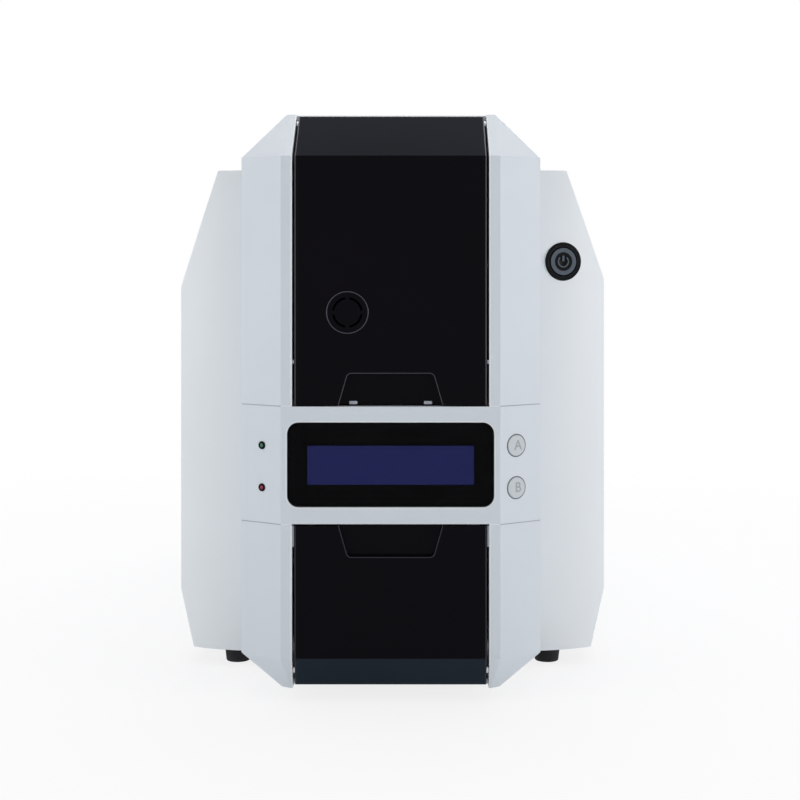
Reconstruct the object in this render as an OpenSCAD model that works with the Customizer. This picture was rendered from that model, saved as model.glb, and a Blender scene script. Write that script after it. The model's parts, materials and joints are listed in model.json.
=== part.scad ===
// Desktop ID card printer: cards go in at the top front, are printed under the lid and drop into the tray.
// Millimetres. X is width, Y runs from front to back, Z is up. The origin is the middle of the footprint.

/* [Case] */
// Depth from the front plane to the rear panel
case_depth = 365; // [355:5:385]
// Half width of the central spine
spine_half = 58.7; // [57:0.1:60]
// Half width of the flat front, between the two bevels
ridge_half = 42.4; // [42:0.1:44]
// How far back the front bevels run
bevel_depth = 10.4; // [8:0.2:12]
// Height of the spine's flat top
spine_top = 229.6; // [226:0.2:234]
// Height of the spine's underside
spine_base = 4.3; // [4:0.1:5.6]
// How much the top slope rises
slope_rise = 18.3; // [14:0.1:22]
// Height where the front turns into the kick
lower_crease = 17; // [15:0.5:20]
// How far back the top slope runs
slope_run = 26.3; // [22:0.1:30]
// How far back the kick runs at its foot
kick_run = 5; // [3:0.5:6]
// How much more the bevels lean back than the front does, over the slope
slope_lean = 0.8; // [0:0.1:2]
// How much more the bevels lean back than the front does, over the kick
kick_lean = 2; // [0.5:0.1:3]
// Wall of the plastic case parts
wall = 2.4; // [2:0.1:2.8]
// Gap of a visible seam between case parts
seam = 0.3; // [0.3:0.1:0.6]
// Depth of the front frame's pillars
frame_depth = 57; // [56:0.5:59]

/* [Side shells] */
// Half width over the side shells
shell_half = 90.4; // [88:0.2:94]
// How far the spine and its lid stand above the shells
crown_height = 20.8; // [20.4:0.2:24]
// Height of the shells' underside
shell_base = 6.6; // [6:0.2:7.4]
// How far the shoulders lean in
shoulder_lean = 16.8; // [12:0.2:20]
// Height where the left shell's shoulder starts
left_shoulder = 159.5; // [150:0.5:168]
// Height where the right shell's shoulder starts
right_shoulder = 163; // [150:0.5:168]
// How far the toes lean in
toe_lean = 6; // [3:0.2:8]
// Height where the shells' toe ends
toe_top = 31; // [26:0.5:36]
// Distance of the shells' bowed front from the front plane, at the spine
shell_setback = 53.6; // [52:0.2:55]
// Radius of the shells' bowed front
bow_radius = 69.3; // [66:0.1:76]

/* [Front] */
// Half width of the opening for the covers
opening_half = 38.1; // [37.5:0.1:38.5]
// Height of the control band's top seam
band_top = 114.5; // [113:0.1:116]
// Height of the control band's bottom seam
band_bottom = 68.8; // [67:0.1:70]
// Gap between a cover and its opening
cover_gap = 0.9; // [0.5:0.1:1.1]
// Thickness of the two front covers
cover_wall = 2.4; // [2:0.1:2.8]
// Depth of the covers' side flanges
cover_flange = 8; // [6:0.5:9]
// Radius of the covers' hinge knuckles
knuckle = 3.6; // [3.2:0.1:4]
// Radius of every hinge pin
pin_radius = 1.5; // [1.2:0.1:1.8]
// Running clearance of a pin or shaft in its hole
running = 0.05; // [0.03:0.01:0.08]
// Narrow width of the finger recesses
grip_narrow = 33; // [28:0.5:36]
// Wide width of the finger recesses
grip_wide = 40.5; // [38:0.5:44]
// Height of the finger recesses
grip_height = 12; // [10:0.5:14]
// Radius of the finger recesses' far corners
grip_round = 1.8; // [1:0.1:3]
// Depth of the finger recesses
grip_depth = 3.4; // [2.6:0.1:3.8]
// Radius of the lock knock-out's ring
lock_ring = 8.4; // [7.5:0.1:9.5]
// Sideways place of the lock knock-out
lock_x = -16.7; // [-20:0.1:-14]
// Height of the lock knock-out
lock_z = 150.7; // [145:0.1:156]
// Width of the display window
window_width = 80; // [76:0.5:82]
// Height of the display window
window_height = 32.7; // [30:0.1:34]
// Corner radius of the display window
window_corner = 4.4; // [3:0.2:6]
// Height of the middle of the display window
window_z = 91.8; // [91:0.1:92.6]
// Thickness of the display window
window_thick = 2; // [1.6:0.1:2.4]
// Height of the upper lamp and button
upper_mark = 98.9; // [97:0.1:100]
// Height of the lower lamp and button
lower_mark = 82.5; // [81:0.1:84]
// Radius of the two menu buttons
button_radius = 4.1; // [4:0.1:4.8]
// Travel of the two menu buttons
button_travel = 0.8; // [0.5:0.1:1]
// Distance of the lamps from the middle
lamp_x = 50.1; // [49:0.1:51.5]
// Distance of the menu buttons from the middle
button_x = 48.8; // [48:0.1:50]
// Radius of the lamps
lamp_radius = 1.5; // [1.4:0.1:1.8]
// How far the power switch sits inside the middle of the right shell
switch_shift = 2.6; // [0:0.1:3]
// Height of the power switch
switch_z = 170.4; // [166:0.2:174]
// Outer radius of the power switch's bezel
bezel_radius = 8.2; // [8:0.1:8.8]
// Radius of the power switch's cap
cap_radius = 5.95; // [5.5:0.05:6.2]
// Travel of the power switch's cap
cap_travel = 1.5; // [1:0.1:2]

/* [Lid] */
// Distance of the lid's hinge behind the front plane
lid_run = 267.5; // [264:0.5:272]
// Radius of the lid's hinge knuckle
lid_knuckle = 4; // [3.6:0.1:4.4]
// Gap between the lid's front edge and the frame
lid_front_gap = 0.8; // [0.7:0.1:1]
// Travel of the lid's release button
release_travel = 2.5; // [2:0.1:3]

/* [Card path] */
// Length of a card
card_length = 85.6; // [85.6:0.1:86.4]
// Width of a card
card_width = 54; // [54:0.1:54.6]
// Height of the card path
path_z = 119; // [118.5:0.1:119.5]
// Inner half gap between the chassis plates
chassis_half = 36; // [35.8:0.1:36.2]
// Thickness of the steel chassis plates
plate_thick = 1.5; // [1.2:0.1:1.6]
// Radius of every roller shaft
shaft_radius = 3; // [2.8:0.1:3.2]
// Radius of the driven rollers
roller_radius = 7; // [6.6:0.1:7.2]
// Radius of the pick roller's tyres
pick_radius = 9; // [8.4:0.1:9.2]
// Radius of the pinch roller
pinch_radius = 4.2; // [3.8:0.1:4.4]
// Outer radius of the roller bushes
bush_radius = 5.5; // [5:0.1:5.7]
// Room between the hopper's top and the frame's bridge
hopper_room = 5.8; // [5:0.2:9]
// Wall of the hopper and the tray
tray_wall = 2; // [1.6:0.1:2.4]

/* [Ribbon] */
// Radius of the full ribbon roll
ribbon_radius = 15.5; // [13:0.1:15.7]
// Radius of the spools' cores
core_radius = 8; // [7:0.1:9]
// Radius of the spools' flanges
flange_radius = 16.5; // [15.8:0.1:16.5]
// Height of the two spools
spool_z = 150; // [149:0.2:152]

/* [Drive] */
// Radius of the pulleys on the rollers
pulley_radius = 8; // [7.4:0.1:8.4]
// Radius of the motor's pulley
drive_pulley = 6; // [5:0.1:7]
// Thickness of the timing belt
belt_thick = 1.4; // [1.2:0.1:1.6]
// Width of the timing belt
belt_width = 6; // [5:0.2:6.4]
// Side of the square motors
motor_side = 42.3; // [39:0.1:42.5]
// Length of the main motor
motor_length = 32; // [28:0.5:34]

/* [Base and rear] */
// Sideways place of the feet
foot_x = 66; // [65:0.2:70]
// Radius of a foot at its top
foot_radius = 5.8; // [5:0.1:6.4]
// Thickness of the steel base pan
pan_thick = 1.6; // [1.2:0.1:2]
// Side of the cooling fan
fan_side = 40; // [38:0.5:40]
// Depth of the cooling fan
fan_depth = 10; // [9:0.5:12]

/* [Hidden] */
$fn = 48;
eps = 0.01;
front = -case_depth / 2;
rear = case_depth / 2;
frame_back = front + frame_depth;
upper_crease = spine_top - slope_rise;
lid_hinge_y = front + lid_run;
slope_length = norm([slope_run, slope_rise]);
bevel_angle = atan2(bevel_depth, spine_half - ridge_half);
corner_slope = slope_run * cos(bevel_angle) + slope_lean;
crease_step = 0.5;
corner_kick = kick_run * cos(bevel_angle) + kick_lean;
lid_open = 70;
ledge = 2;
reach = 2 * case_depth;
board_thick = 1.6;
press_gap = 0.3;
// Upper cover: its knuckle touches the slope from below, near the slope's end
slope_trim = 2.2;
slope_dir = [slope_run, slope_rise] / slope_length;
slope_normal = [-slope_dir[1], slope_dir[0]];
cover_axis = [front + slope_run, spine_top] - slope_trim * slope_dir - knuckle * slope_normal;
cover_half = opening_half - cover_gap;
cover_bottom = band_top + 0.5;
pin_half = opening_half + wall - 0.4;
lid_front = cover_axis[0] + knuckle + seam + lid_front_gap;
frame_top_end = lid_front - lid_front_gap;
shell_top = spine_top - crown_height;
lid_edge = shell_top + seam;
bridge_thick = 3;
// Lower door
door_axis = [front + 6.2, spine_base + 7.1];
door_rib = 2.4;
door_bottom = spine_base + 1.4;
door_top = band_bottom - 0.5;
floor_thick = 2;
// Lid hinge
lid_axis = [lid_hinge_y, spine_top - lid_knuckle];
lid_knuckle_half = 30;
ear_width = 9;
ear_gap = 0.4;
ear_out = lid_knuckle_half + ear_gap + ear_width;
groove_gap = 0.5;
rear_cover_front = lid_hinge_y + lid_knuckle * (1 - cos(lid_open)) / sin(lid_open) + groove_gap;
release_at = [0, lid_front + 16];
release_size = [26, 10];
// Bowed front of the side shells
bow_start = 5;
bow_x = spine_half - bow_radius * sin(bow_start);
bow_y = front + shell_setback + bow_radius * cos(bow_start);
shell_gap = 0.3;
shell_inner = spine_half + shell_gap;
shoulder_half = shell_half - shoulder_lean;
toe_half = shell_half - toe_lean;
switch_x = (shell_inner + shell_half) / 2 - switch_shift;
shell_back = rear - wall;
lip_x = spine_half - wall - 1;
lip_rise = 1.5;
lip_break = [lid_hinge_y - lid_knuckle - wall - 4, lid_hinge_y + lid_knuckle + wall + 2];
switch_angle = asin((switch_x - bow_x) / bow_radius);
switch_seat = 0.8;
switch_proud = 0.4;
barrel_radius = 7;
barrel_length = 15;
cap_length = 9;
// Control band
band_low = band_bottom + seam / 2;
band_high = band_top - seam / 2;
window_back = 4.4;
module_size = [80, 36];
module_frame = [71, 26];
module_board = 1.6;
board_seat = 7;
// The door's foot swings up in front of the tray
tray_front = door_axis[0] + door_axis[1] - door_bottom + 0.6;
// Card path: how far the shafts and the guide's end lie behind the hopper
gate_run = 7;
cleaning_run = 16;
front_roller_run = 56;
platen_run = 91;
rear_roller_run = 131;
guide_run = 194;
// Places of the shafts, as [y, z]
hopper_front = front + 9.5;
hopper_back = hopper_front + card_length + 1.4;
hopper_half = card_width / 2 + 1;
hopper_floor = path_z - 2;
hopper_top = shell_top - bridge_thick - hopper_room;
weight_height = 9;
weight_y = (hopper_front + hopper_back) / 2;
pick_at = [hopper_back - 17, path_z - pick_radius + 0.2];
exit_at = [hopper_back + 1.5, path_z - 19];
gate_at = [hopper_back + gate_run, path_z - 3.2];
cleaning_at = [hopper_back + cleaning_run, path_z + 0.4 + roller_radius];
front_roller_at = [hopper_back + front_roller_run, path_z - roller_radius - 0.1];
platen_at = [hopper_back + platen_run, path_z - roller_radius - 0.1];
rear_roller_at = [hopper_back + rear_roller_run, path_z - roller_radius - 0.1];
pinch_at = [front_roller_at[0], path_z + 0.7 + pinch_radius];
roller_half = 27;
gate_radius = 2;
gate_reach = 4.5;
guide_front = hopper_back + 14;
guide_back = hopper_back + guide_run;
guide_thick = 1.4;
guide_top = path_z - 0.4;
plate_front = frame_back + 1.5;
plate_back = guide_back + 10;
plate_rise = 36;
plate_top = spool_z + plate_rise;
plate_out = chassis_half + plate_thick;
pan_z = shell_base + wall;
pan_top = pan_z + pan_thick;
// Ribbon
supply_run = 57;
takeup_run = 45;
supply_at = [platen_at[0] - supply_run, spool_z];
takeup_at = [platen_at[0] + takeup_run, spool_z];
spool_half = 29;
spool_flange = 1.4;
journal_radius = 4;
wound_radius = core_radius + 1;
web_z = path_z + 2.2;
web_half = 28.5;
web_thick = 0.25;
web_front = platen_at[0] - 9;
web_back = platen_at[0] + 14;
head_front = platen_at[0] - 6;
head_back = platen_at[0] + 12;
head_z = web_z + 0.5;
head_half = 31;
head_height = 12;
sink_height = 14;
bracket_thick = 1.5;
cassette_inner = 32.5;
cassette_outer = 34.5;
// Drive
belt_x = -(plate_out + 1 + belt_width / 2);
belt_gap = 0.12;
motor_at = [platen_at[0] + 7, path_z - 53];
motor_shaft = 2.5;
shaft_end = -belt_x + belt_width / 2 + 0.8;
// Rear
fan_inset = 28.4;
fan_at = [shell_half - fan_inset, path_z + 3];
fan_front = shell_back - fan_depth;
fan_bore = fan_side / 2 - 1.2;
port_inset = 22.4;
port_x = port_inset - shell_half;
inlet_z = 40;
port_z = 72;
port_pitch = 22;
board_x = -60;
board_y = [rear_roller_at[0] + 7, plate_back - 4];
board_z = [30, 150];
stud_radius = 2.5;
front_foot_run = 65.5;
rear_foot_run = 30;
foot_y = [front + front_foot_run, rear - rear_foot_run];
boss_inset = 3.5;
boss_x = shell_half - wall - boss_inset;
boss_z = [42, 148];
boss_radius = 4;
screw_radius = 1.5;
screw_head = 3;
head_sink = 1.7;
screw_length = 9;

// ---- Outlines ----

function unit(v) = v / norm(v);
function inward(a, b) = let (d = unit(b - a)) [-d[1], d[0]];
function crossing(p, u, q, v) =
    p + u * ((q[0] - p[0]) * v[1] - (q[1] - p[1]) * v[0]) / (u[0] * v[1] - u[1] * v[0]);
// A counter-clockwise outline moved inwards by t
function inset(outline, t) =
    let (n = len(outline))
    [for (i = [0:n - 1])
        let (a = outline[(i + n - 1) % n], b = outline[i], c = outline[(i + 1) % n])
        crossing(b + t * inward(a, b), b - a, b + t * inward(b, c), c - b)];
// Where the line from point p touches a circle; side is 1 or -1
function tangent_point(p, centre, r, side) =
    let (v = p - centre, a = atan2(v[1], v[0]) + side * acos(r / norm(v)))
    centre + r * [cos(a), sin(a)];

// Front to back section of the spine, as [y, z]
function side_outline() = [[front + kick_run, spine_base], [rear + 50, spine_base], [rear + 50, spine_top],
    [front + slope_run, spine_top], [front, upper_crease], [front, lower_crease]];
// Cross section of the spine, as [x, z]
function cross_outline() = [[-ridge_half, spine_base], [ridge_half, spine_base], [spine_half, lower_crease],
    [spine_half, upper_crease], [ridge_half, spine_top], [-ridge_half, spine_top], [-spine_half, upper_crease],
    [-spine_half, lower_crease]];
// Section square to a bevel, as [distance in, z]
function corner_outline() = [[corner_kick, spine_base], [reach, spine_base], [reach, spine_top],
    [corner_slope, spine_top], [0, upper_crease], [0, lower_crease - crease_step]];
// Section of a side shell, as [x, z], from the given inner edge
function shell_outline(inner, shoulder) = [[inner, shell_base], [toe_half, shell_base], [shell_half, toe_top],
    [shell_half, shoulder], [shoulder_half, shell_top], [inner, shell_top]];

// ---- Shared shapes ----

// Extrudes an [x, z] outline along Y
module along_y(from, to) {
    translate([0, to, 0]) rotate([90, 0, 0]) linear_extrude(to - from) children();
}
// Extrudes a [y, z] outline along X
module along_x(from, to) {
    translate([from, 0, 0]) rotate([90, 0, 90]) linear_extrude(to - from) children();
}
// A cylinder along X at the [y, z] place
module rod_x(at, r, from, to) {
    translate([from, at[0], at[1]]) rotate([0, 90, 0]) cylinder(r = r, h = to - from);
}
// A cylinder along Y at the [x, z] place
module rod_y(at, r, from, to) {
    translate([at[0], from, at[1]]) rotate([-90, 0, 0]) cylinder(r = r, h = to - from);
}
// A box between two corners
module block(low, high) {
    translate(low) cube(high - low);
}
module both_sides() {
    children();
    mirror([1, 0, 0]) children();
}
module rounded_rectangle(size, r) {
    x = size[0] / 2 - r;
    z = size[1] / 2 - r;
    union() {
        square([size[0], 2 * z], center = true);
        square([2 * x, size[1]], center = true);
        for (i = [-x, x], j = [-z, z]) translate([i, j]) circle(r);
    }
}
// The whole outer form of the spine, with every face moved in by t
module spine_form(t = 0) {
    intersection() {
        along_x(-spine_half - 1, spine_half + 1) polygon(inset(side_outline(), t));
        along_y(front - 1, rear + 1) polygon(inset(cross_outline(), t));
        corner_prism(t);
        mirror([1, 0, 0]) corner_prism(t);
    }
}
module corner_prism(t) {
    translate([ridge_half, front, 0]) rotate([0, 0, bevel_angle]) along_x(-reach, reach)
        polygon(inset(corner_outline(), t));
}
// Places children on a front bevel at a height; local -Y points outwards
module on_bevel(side, z) {
    place = side < 0 ? lamp_x : button_x;
    run = (place - ridge_half) / (spine_half - ridge_half);
    mirror([side < 0 ? 1 : 0, 0, 0]) translate([place, front + bevel_depth * run, z])
        rotate([0, 0, bevel_angle]) children();
}
// Places children on the bowed front of the right shell, at the power switch; local -Y points outwards
module on_bow() {
    translate([bow_x, bow_y, switch_z]) rotate([0, 0, switch_angle]) translate([0, -bow_radius, 0]) children();
}
// A finger recess that runs up from a cover's edge at height z; grow is the wall around it
module grip(z, depth, grow) {
    over = grow > 0 ? 0 : 1;
    near = grip_wide / 2 + grow;
    far = grip_narrow / 2 + grow;
    r = grip_round + grow;
    outline = [[-near, -over], [near, -over], [far, grip_height + grow], [-far, grip_height + grow]];
    middle = inset(outline, r);
    to_right = r * inward(outline[1], outline[2]);
    to_top = r * inward(outline[2], outline[3]);
    to_left = r * inward(outline[3], outline[0]);
    translate([0, 0, z]) along_y(front - over, front + depth) union() {
        polygon([outline[0], outline[1], middle[2] - to_right, middle[2] - to_top, middle[3] - to_top,
            middle[3] - to_left]);
        for (i = [2, 3]) translate(middle[i]) circle(r);
    }
}
// The same recess, running down from height z
module grip_down(z, depth, grow) {
    translate([0, 0, 2 * z]) mirror([0, 0, 1]) grip(z, depth, grow);
}

// ---- Case ----

module shell_body(shoulder, t) {
    outline = inset(shell_outline(shell_inner - (t > 0 ? 2 * t : 0), shoulder), t);
    intersection() {
        along_y(front, shell_back + (t > 0 ? 1 : 0)) polygon(outline);
        union() {
            translate([bow_x, bow_y, 0]) cylinder(r = bow_radius - t, h = spine_top, $fn = 96);
            block([0, bow_y, 0], [2 * shell_half, rear + 1, spine_top]);
        }
    }
}
module side_shell(shoulder) {
    difference() {
        union() {
            shell_body(shoulder, 0);
            // Top and bottom flanges that reach in under the spine
            block([lip_x, frame_back + seam, shell_top - wall], [shell_inner + 1, shell_back, shell_top]);
            block([lip_x, frame_back + seam, shell_base], [shell_inner + 1, shell_back, shell_base + wall]);
            for (run = [[frame_back + seam, lip_break[0]], [lip_break[1], shell_back]])
                block([lip_x - wall, run[0], shell_top - wall], [lip_x, run[1], shell_top + lip_rise]);
        }
        difference() {
            shell_body(shoulder, wall);
            for (z = boss_z) rod_y([boss_x, z], boss_radius, shell_back - 12, shell_back + 2);
        }
        for (z = boss_z) rod_y([boss_x, z], screw_radius + running, shell_back - 10, shell_back + 1);
    }
}
module left_shell() {
    color("#d6dbe0") mirror([1, 0, 0]) side_shell(left_shoulder);
}
module right_shell() {
    color("#d8dce1") difference() {
        side_shell(right_shoulder);
        on_bow() {
            rod_y([0, 0], bezel_radius + running, -2, switch_seat);
            rod_y([0, 0], barrel_radius + running, -2, 2 * wall);
        }
    }
}
module upper_front_frame() {
    color("#cfd5da") difference() {
        union() {
            difference() {
                intersection() {
                    spine_form();
                    block([-spine_half, front, band_top + seam / 2], [spine_half, frame_back, spine_top]);
                }
                block([-spine_half - 1, frame_top_end, lid_edge - seam], [spine_half + 1, rear, spine_top + 1]);
                intersection() {
                    spine_form(wall);
                    both_sides() block([opening_half + wall, front, band_top + seam / 2 + ledge],
                        [spine_half, rear, spine_top]);
                }
                block([-opening_half, front - 1, 0], [opening_half, rear, spine_top + 1]);
            }
            block([-opening_half - wall, frame_top_end - 2, lid_edge - seam - bridge_thick],
                [opening_half + wall, frame_back, lid_edge - seam]);
        }
        rod_x(cover_axis, pin_radius + running, -pin_half, pin_half);
    }
}
module control_panel() {
    color("#c8cfd6") difference() {
        union() {
            difference() {
                intersection() {
                    spine_form();
                    block([-spine_half, front, band_low], [spine_half, frame_back, band_high]);
                }
                intersection() {
                    spine_form(wall);
                    block([-spine_half, front, band_low + ledge], [spine_half, rear, band_high - ledge]);
                }
                // The middle stays open for the cards that fall behind the display
                block([-opening_half, tray_front, 0], [opening_half, rear, spine_top]);
            }
            block([-window_width / 2 - 1.6, front + wall / 2, band_low + ledge / 2],
                [window_width / 2 + 1.6, front + window_back, band_high - ledge / 2]);
            for (side = [-1, 1], z = [band_low + 4.6, band_high - 4.6])
                on_bevel(side, z) rod_y([0, 0], 2, wall / 2, board_seat);
        }
        translate([0, 0, window_z]) along_y(front - 1, front + window_thick)
            rounded_rectangle([window_width, window_height], window_corner);
        block([-(module_frame[0] + 1) / 2, front, window_z - (module_frame[1] + 1) / 2],
            [(module_frame[0] + 1) / 2, front + window_back + 1, window_z + (module_frame[1] + 1) / 2]);
        for (z = [lower_mark, upper_mark]) {
            on_bevel(1, z) rod_y([0, 0], button_radius + running, -4, wall + 1);
            on_bevel(-1, z) rod_y([0, 0], lamp_radius + running, -4, wall + 1);
        }
    }
}
module lower_front_frame() {
    color("#c6cdd4") difference() {
        union() {
            difference() {
                intersection() {
                    spine_form();
                    block([-spine_half, front, spine_base], [spine_half, frame_back, band_bottom - seam / 2]);
                }
                intersection() {
                    spine_form(wall);
                    both_sides() block([opening_half + wall, front, spine_base],
                        [spine_half, rear, band_bottom - seam / 2 - ledge]);
                }
                block([-opening_half, front - 1, 0], [opening_half, rear, spine_top]);
            }
            block([-opening_half - wall / 2, door_axis[0] + knuckle + 1.4, spine_base],
                [opening_half + wall / 2, frame_back, spine_base + floor_thick]);
        }
        rod_x(door_axis, pin_radius + running, -pin_half, pin_half);
    }
}
module rear_top_cover() {
    color("#d3d8dd") difference() {
        union() {
            difference() {
                intersection() {
                    spine_form();
                    block([-spine_half, rear_cover_front, lid_edge], [spine_half, rear, spine_top]);
                }
                intersection() {
                    spine_form(wall);
                    block([-spine_half, lid_hinge_y + lid_knuckle + groove_gap + wall, 0],
                        [spine_half, rear - wall, spine_top]);
                }
                rod_x(lid_axis, lid_knuckle + groove_gap, -spine_half - 1, spine_half + 1);
            }
            both_sides() {
                rod_x(lid_axis, lid_knuckle, lid_knuckle_half + ear_gap, ear_out);
                block([lid_knuckle_half + ear_gap, lid_hinge_y, lid_axis[1] - lid_knuckle],
                    [ear_out, rear_cover_front + lid_knuckle, lid_axis[1]]);
            }
        }
        rod_x(lid_axis, lid_knuckle + groove_gap, -lid_knuckle_half - ear_gap, lid_knuckle_half + ear_gap);
        both_sides() rod_x(lid_axis, pin_radius, lid_knuckle_half - 1, ear_out - 1);
    }
}
module rear_panel() {
    outline = [[-toe_half, shell_base], [toe_half, shell_base], [shell_half, toe_top],
        [shell_half, right_shoulder], [shoulder_half, shell_top], [-shoulder_half, shell_top],
        [-shell_half, left_shoulder], [-shell_half, toe_top]];
    color("#9fa6ad") difference() {
        along_y(shell_back, rear) polygon(outline);
        // Fan grille: rings of round holes
        for (ring = [1:3], i = [0:6 * ring - 1])
            rod_y(fan_at + ring * 5 * [cos(60 * i / ring), sin(60 * i / ring)], 2, shell_back - 1, rear + 1);
        rod_y(fan_at, 2, shell_back - 1, rear + 1);
        // Cooling slots
        for (i = [-5:5]) block([i * 6 - 1.5, shell_back - 1, 60], [i * 6 + 1.5, rear + 1, 170]);
        rod_y([port_x, inlet_z], 5.5, shell_back - 1, rear + 1);
        block([port_x - 8, shell_back - 1, port_z - 7], [port_x + 8, rear + 1, port_z + 7]);
        block([port_x - 6, shell_back - 1, port_z + port_pitch - 6],
            [port_x + 6, rear + 1, port_z + port_pitch + 6]);
        both_sides() for (z = boss_z) {
            rod_y([boss_x, z], screw_radius + running, shell_back - 1, rear + 1);
            rod_y([boss_x, z], screw_head + 2 * running, rear - head_sink, rear + 1);
        }
    }
}
module base_pan() {
    color("#8d949b") difference() {
        union() {
            block([-spine_half, plate_front, pan_z], [spine_half, shell_back, pan_top]);
            block([-toe_half + 6, plate_front + 14, pan_z], [toe_half - 6, shell_back, pan_top]);
        }
        for (x = [-2:2], y = [0:4]) translate([x * 14, plate_back - 98 + y * 22, 0])
            block([-4, -8, 0], [4, 8, 2 * pan_top]);
    }
}
module feet() {
    color("#17181c") for (x = [-foot_x, foot_x], y = foot_y)
        translate([x, y, 0]) cylinder(r1 = foot_radius - 0.8, r2 = foot_radius, h = shell_base);
}
module case_screws() {
    color("#7f858b") both_sides() for (z = boss_z) {
        rod_y([boss_x, z], screw_radius, rear - screw_length, rear - head_sink + eps);
        difference() {
            rod_y([boss_x, z], screw_head, rear - head_sink, rear - 0.1);
            for (a = [0, 90]) translate([boss_x, 0, z]) rotate([0, a, 0])
                block([-screw_head * 0.6, rear - 0.9, -0.4], [screw_head * 0.6, rear + 1, 0.4]);
        }
    }
}

// ---- Front: display, lamps, buttons and power switch ----

module display_window() {
    color("#141418") translate([0, 0, window_z]) along_y(front, front + window_thick)
        rounded_rectangle([window_width - 2 * running, window_height - 2 * running], window_corner - running);
}
module display_module() {
    color("#2b2f66") union() {
        block([-module_size[0] / 2, front + window_back, window_z - module_size[1] / 2],
            [module_size[0] / 2, front + window_back + module_board, window_z + module_size[1] / 2]);
        block([-module_frame[0] / 2, front + window_thick + running, window_z - module_frame[1] / 2],
            [module_frame[0] / 2, front + window_back + eps, window_z + module_frame[1] / 2]);
    }
}
module lamp() {
    rod_y([0, 0], lamp_radius, -0.1, board_seat);
    rod_y([0, 0], lamp_radius + 0.4, wall + 0.4, board_seat);
    intersection() {
        translate([0, lamp_radius - 0.5, 0]) sphere(lamp_radius);
        rod_y([0, 0], lamp_radius, -1, 1);
    }
}
module green_lamp() {
    color("#4f6f64") on_bevel(-1, upper_mark) lamp();
}
module red_lamp() {
    color("#8a5160") on_bevel(-1, lower_mark) lamp();
}
module panel_boards() {
    board_low = band_low + 3;
    board_high = band_high - 3;
    color("#1d5b3a") {
        for (side = [-1, 1]) on_bevel(side, 0)
            block([-6, board_seat, board_low], [6, board_seat + module_board, board_high]);
        for (z = [lower_mark, upper_mark]) on_bevel(1, z)
            block([-3, wall + 1.5 + button_travel + press_gap, -3], [3, board_seat + eps, 3]);
    }
}
module menu_button() {
    rod_y([0, 0], button_radius, -0.4, wall + 1.5);
    rod_y([0, 0], button_radius + 0.8, wall + 0.2, wall + 1.5);
}
module button_a() {
    color("#c1c7cc") on_bevel(1, upper_mark) menu_button();
}
module button_b() {
    color("#c1c7cc") on_bevel(1, lower_mark) menu_button();
}
module switch_body() {
    color("#18191c") on_bow() difference() {
        union() {
            rod_y([0, 0], bezel_radius, -switch_proud, switch_seat);
            rod_y([0, 0], barrel_radius, 0, barrel_length);
        }
        rod_y([0, 0], cap_radius + running, -1, cap_length + cap_travel + 0.2);
    }
}
module power_button() {
    color("#1b1c20") on_bow() difference() {
        rod_y([0, 0], cap_radius, -switch_proud - 0.2, cap_length);
        translate([0, -switch_proud - 6.2, 0]) sphere(6.6);
    }
}

// ---- Covers and lid ----

module cover_plate(depth) {
    touch = cover_axis + knuckle * slope_normal;
    under = touch - depth * slope_normal;
    corner = crossing([front + depth, 0], [0, 1], under, slope_dir);
    polygon([[front, cover_bottom], [front, upper_crease], touch, under, corner, [front + depth, cover_bottom]]);
}
module upper_cover() {
    color("#101014") difference() {
        union() {
            along_x(-cover_half, cover_half) cover_plate(cover_wall);
            both_sides() along_x(cover_half - cover_wall, cover_half) cover_plate(cover_flange);
            rod_x(cover_axis, knuckle, -cover_half, cover_half);
            grip(cover_bottom, grip_depth + cover_wall, cover_wall);
        }
        grip(cover_bottom, grip_depth, 0);
        rod_x(cover_axis, pin_radius + running, -cover_half - 1, cover_half + 1);
        // Groove of the lock knock-out, broken by four bridges
        translate([lock_x, 0, lock_z]) difference() {
            rod_y([0, 0], lock_ring, front - 1, front + 0.5);
            rod_y([0, 0], lock_ring - 0.7, front - 2, front + 1);
        }
        translate([lock_x, 0, lock_z]) difference() {
            rod_y([0, 0], lock_ring - 2.5, front - 1, front + 0.9);
            rod_y([0, 0], lock_ring - 3.3, front - 2, front + 1);
            for (a = [0, 90]) rotate([0, a, 0])
                block([-lock_ring, front - 2, -0.8], [lock_ring, front + 1, 0.8]);
        }
    }
}
module door_plate(depth) {
    kick = [front + kick_run, spine_base] - [front, lower_crease];
    foot = crossing([front, lower_crease], kick, [front, door_bottom], [1, 0]);
    inner = inset([[front + 200, door_bottom], [front + 200, door_top], [front, door_top], [front, lower_crease],
        foot], depth);
    inner_foot = crossing(inner[3], kick, [front, door_bottom], [1, 0]);
    polygon([foot, inner_foot, inner[3], [front + depth, door_top], [front, door_top], [front, lower_crease]]);
}
module lower_door() {
    color("#0f0e13") difference() {
        union() {
            along_x(-cover_half, cover_half) door_plate(cover_wall);
            block([-cover_half, front + cover_wall + door_rib / 2, door_axis[1] - door_rib / 2],
                [cover_half, door_axis[0], door_axis[1] + door_rib / 2]);
            both_sides() block([cover_half - cover_wall, front + 1, lower_crease],
                [cover_half, front + cover_flange, door_top]);
            rod_x(door_axis, knuckle, -cover_half, cover_half);
            grip_down(door_top, grip_depth + cover_wall, cover_wall);
        }
        grip_down(door_top, grip_depth, 0);
        rod_x(door_axis, pin_radius + running, -cover_half - 1, cover_half + 1);
    }
}
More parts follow.
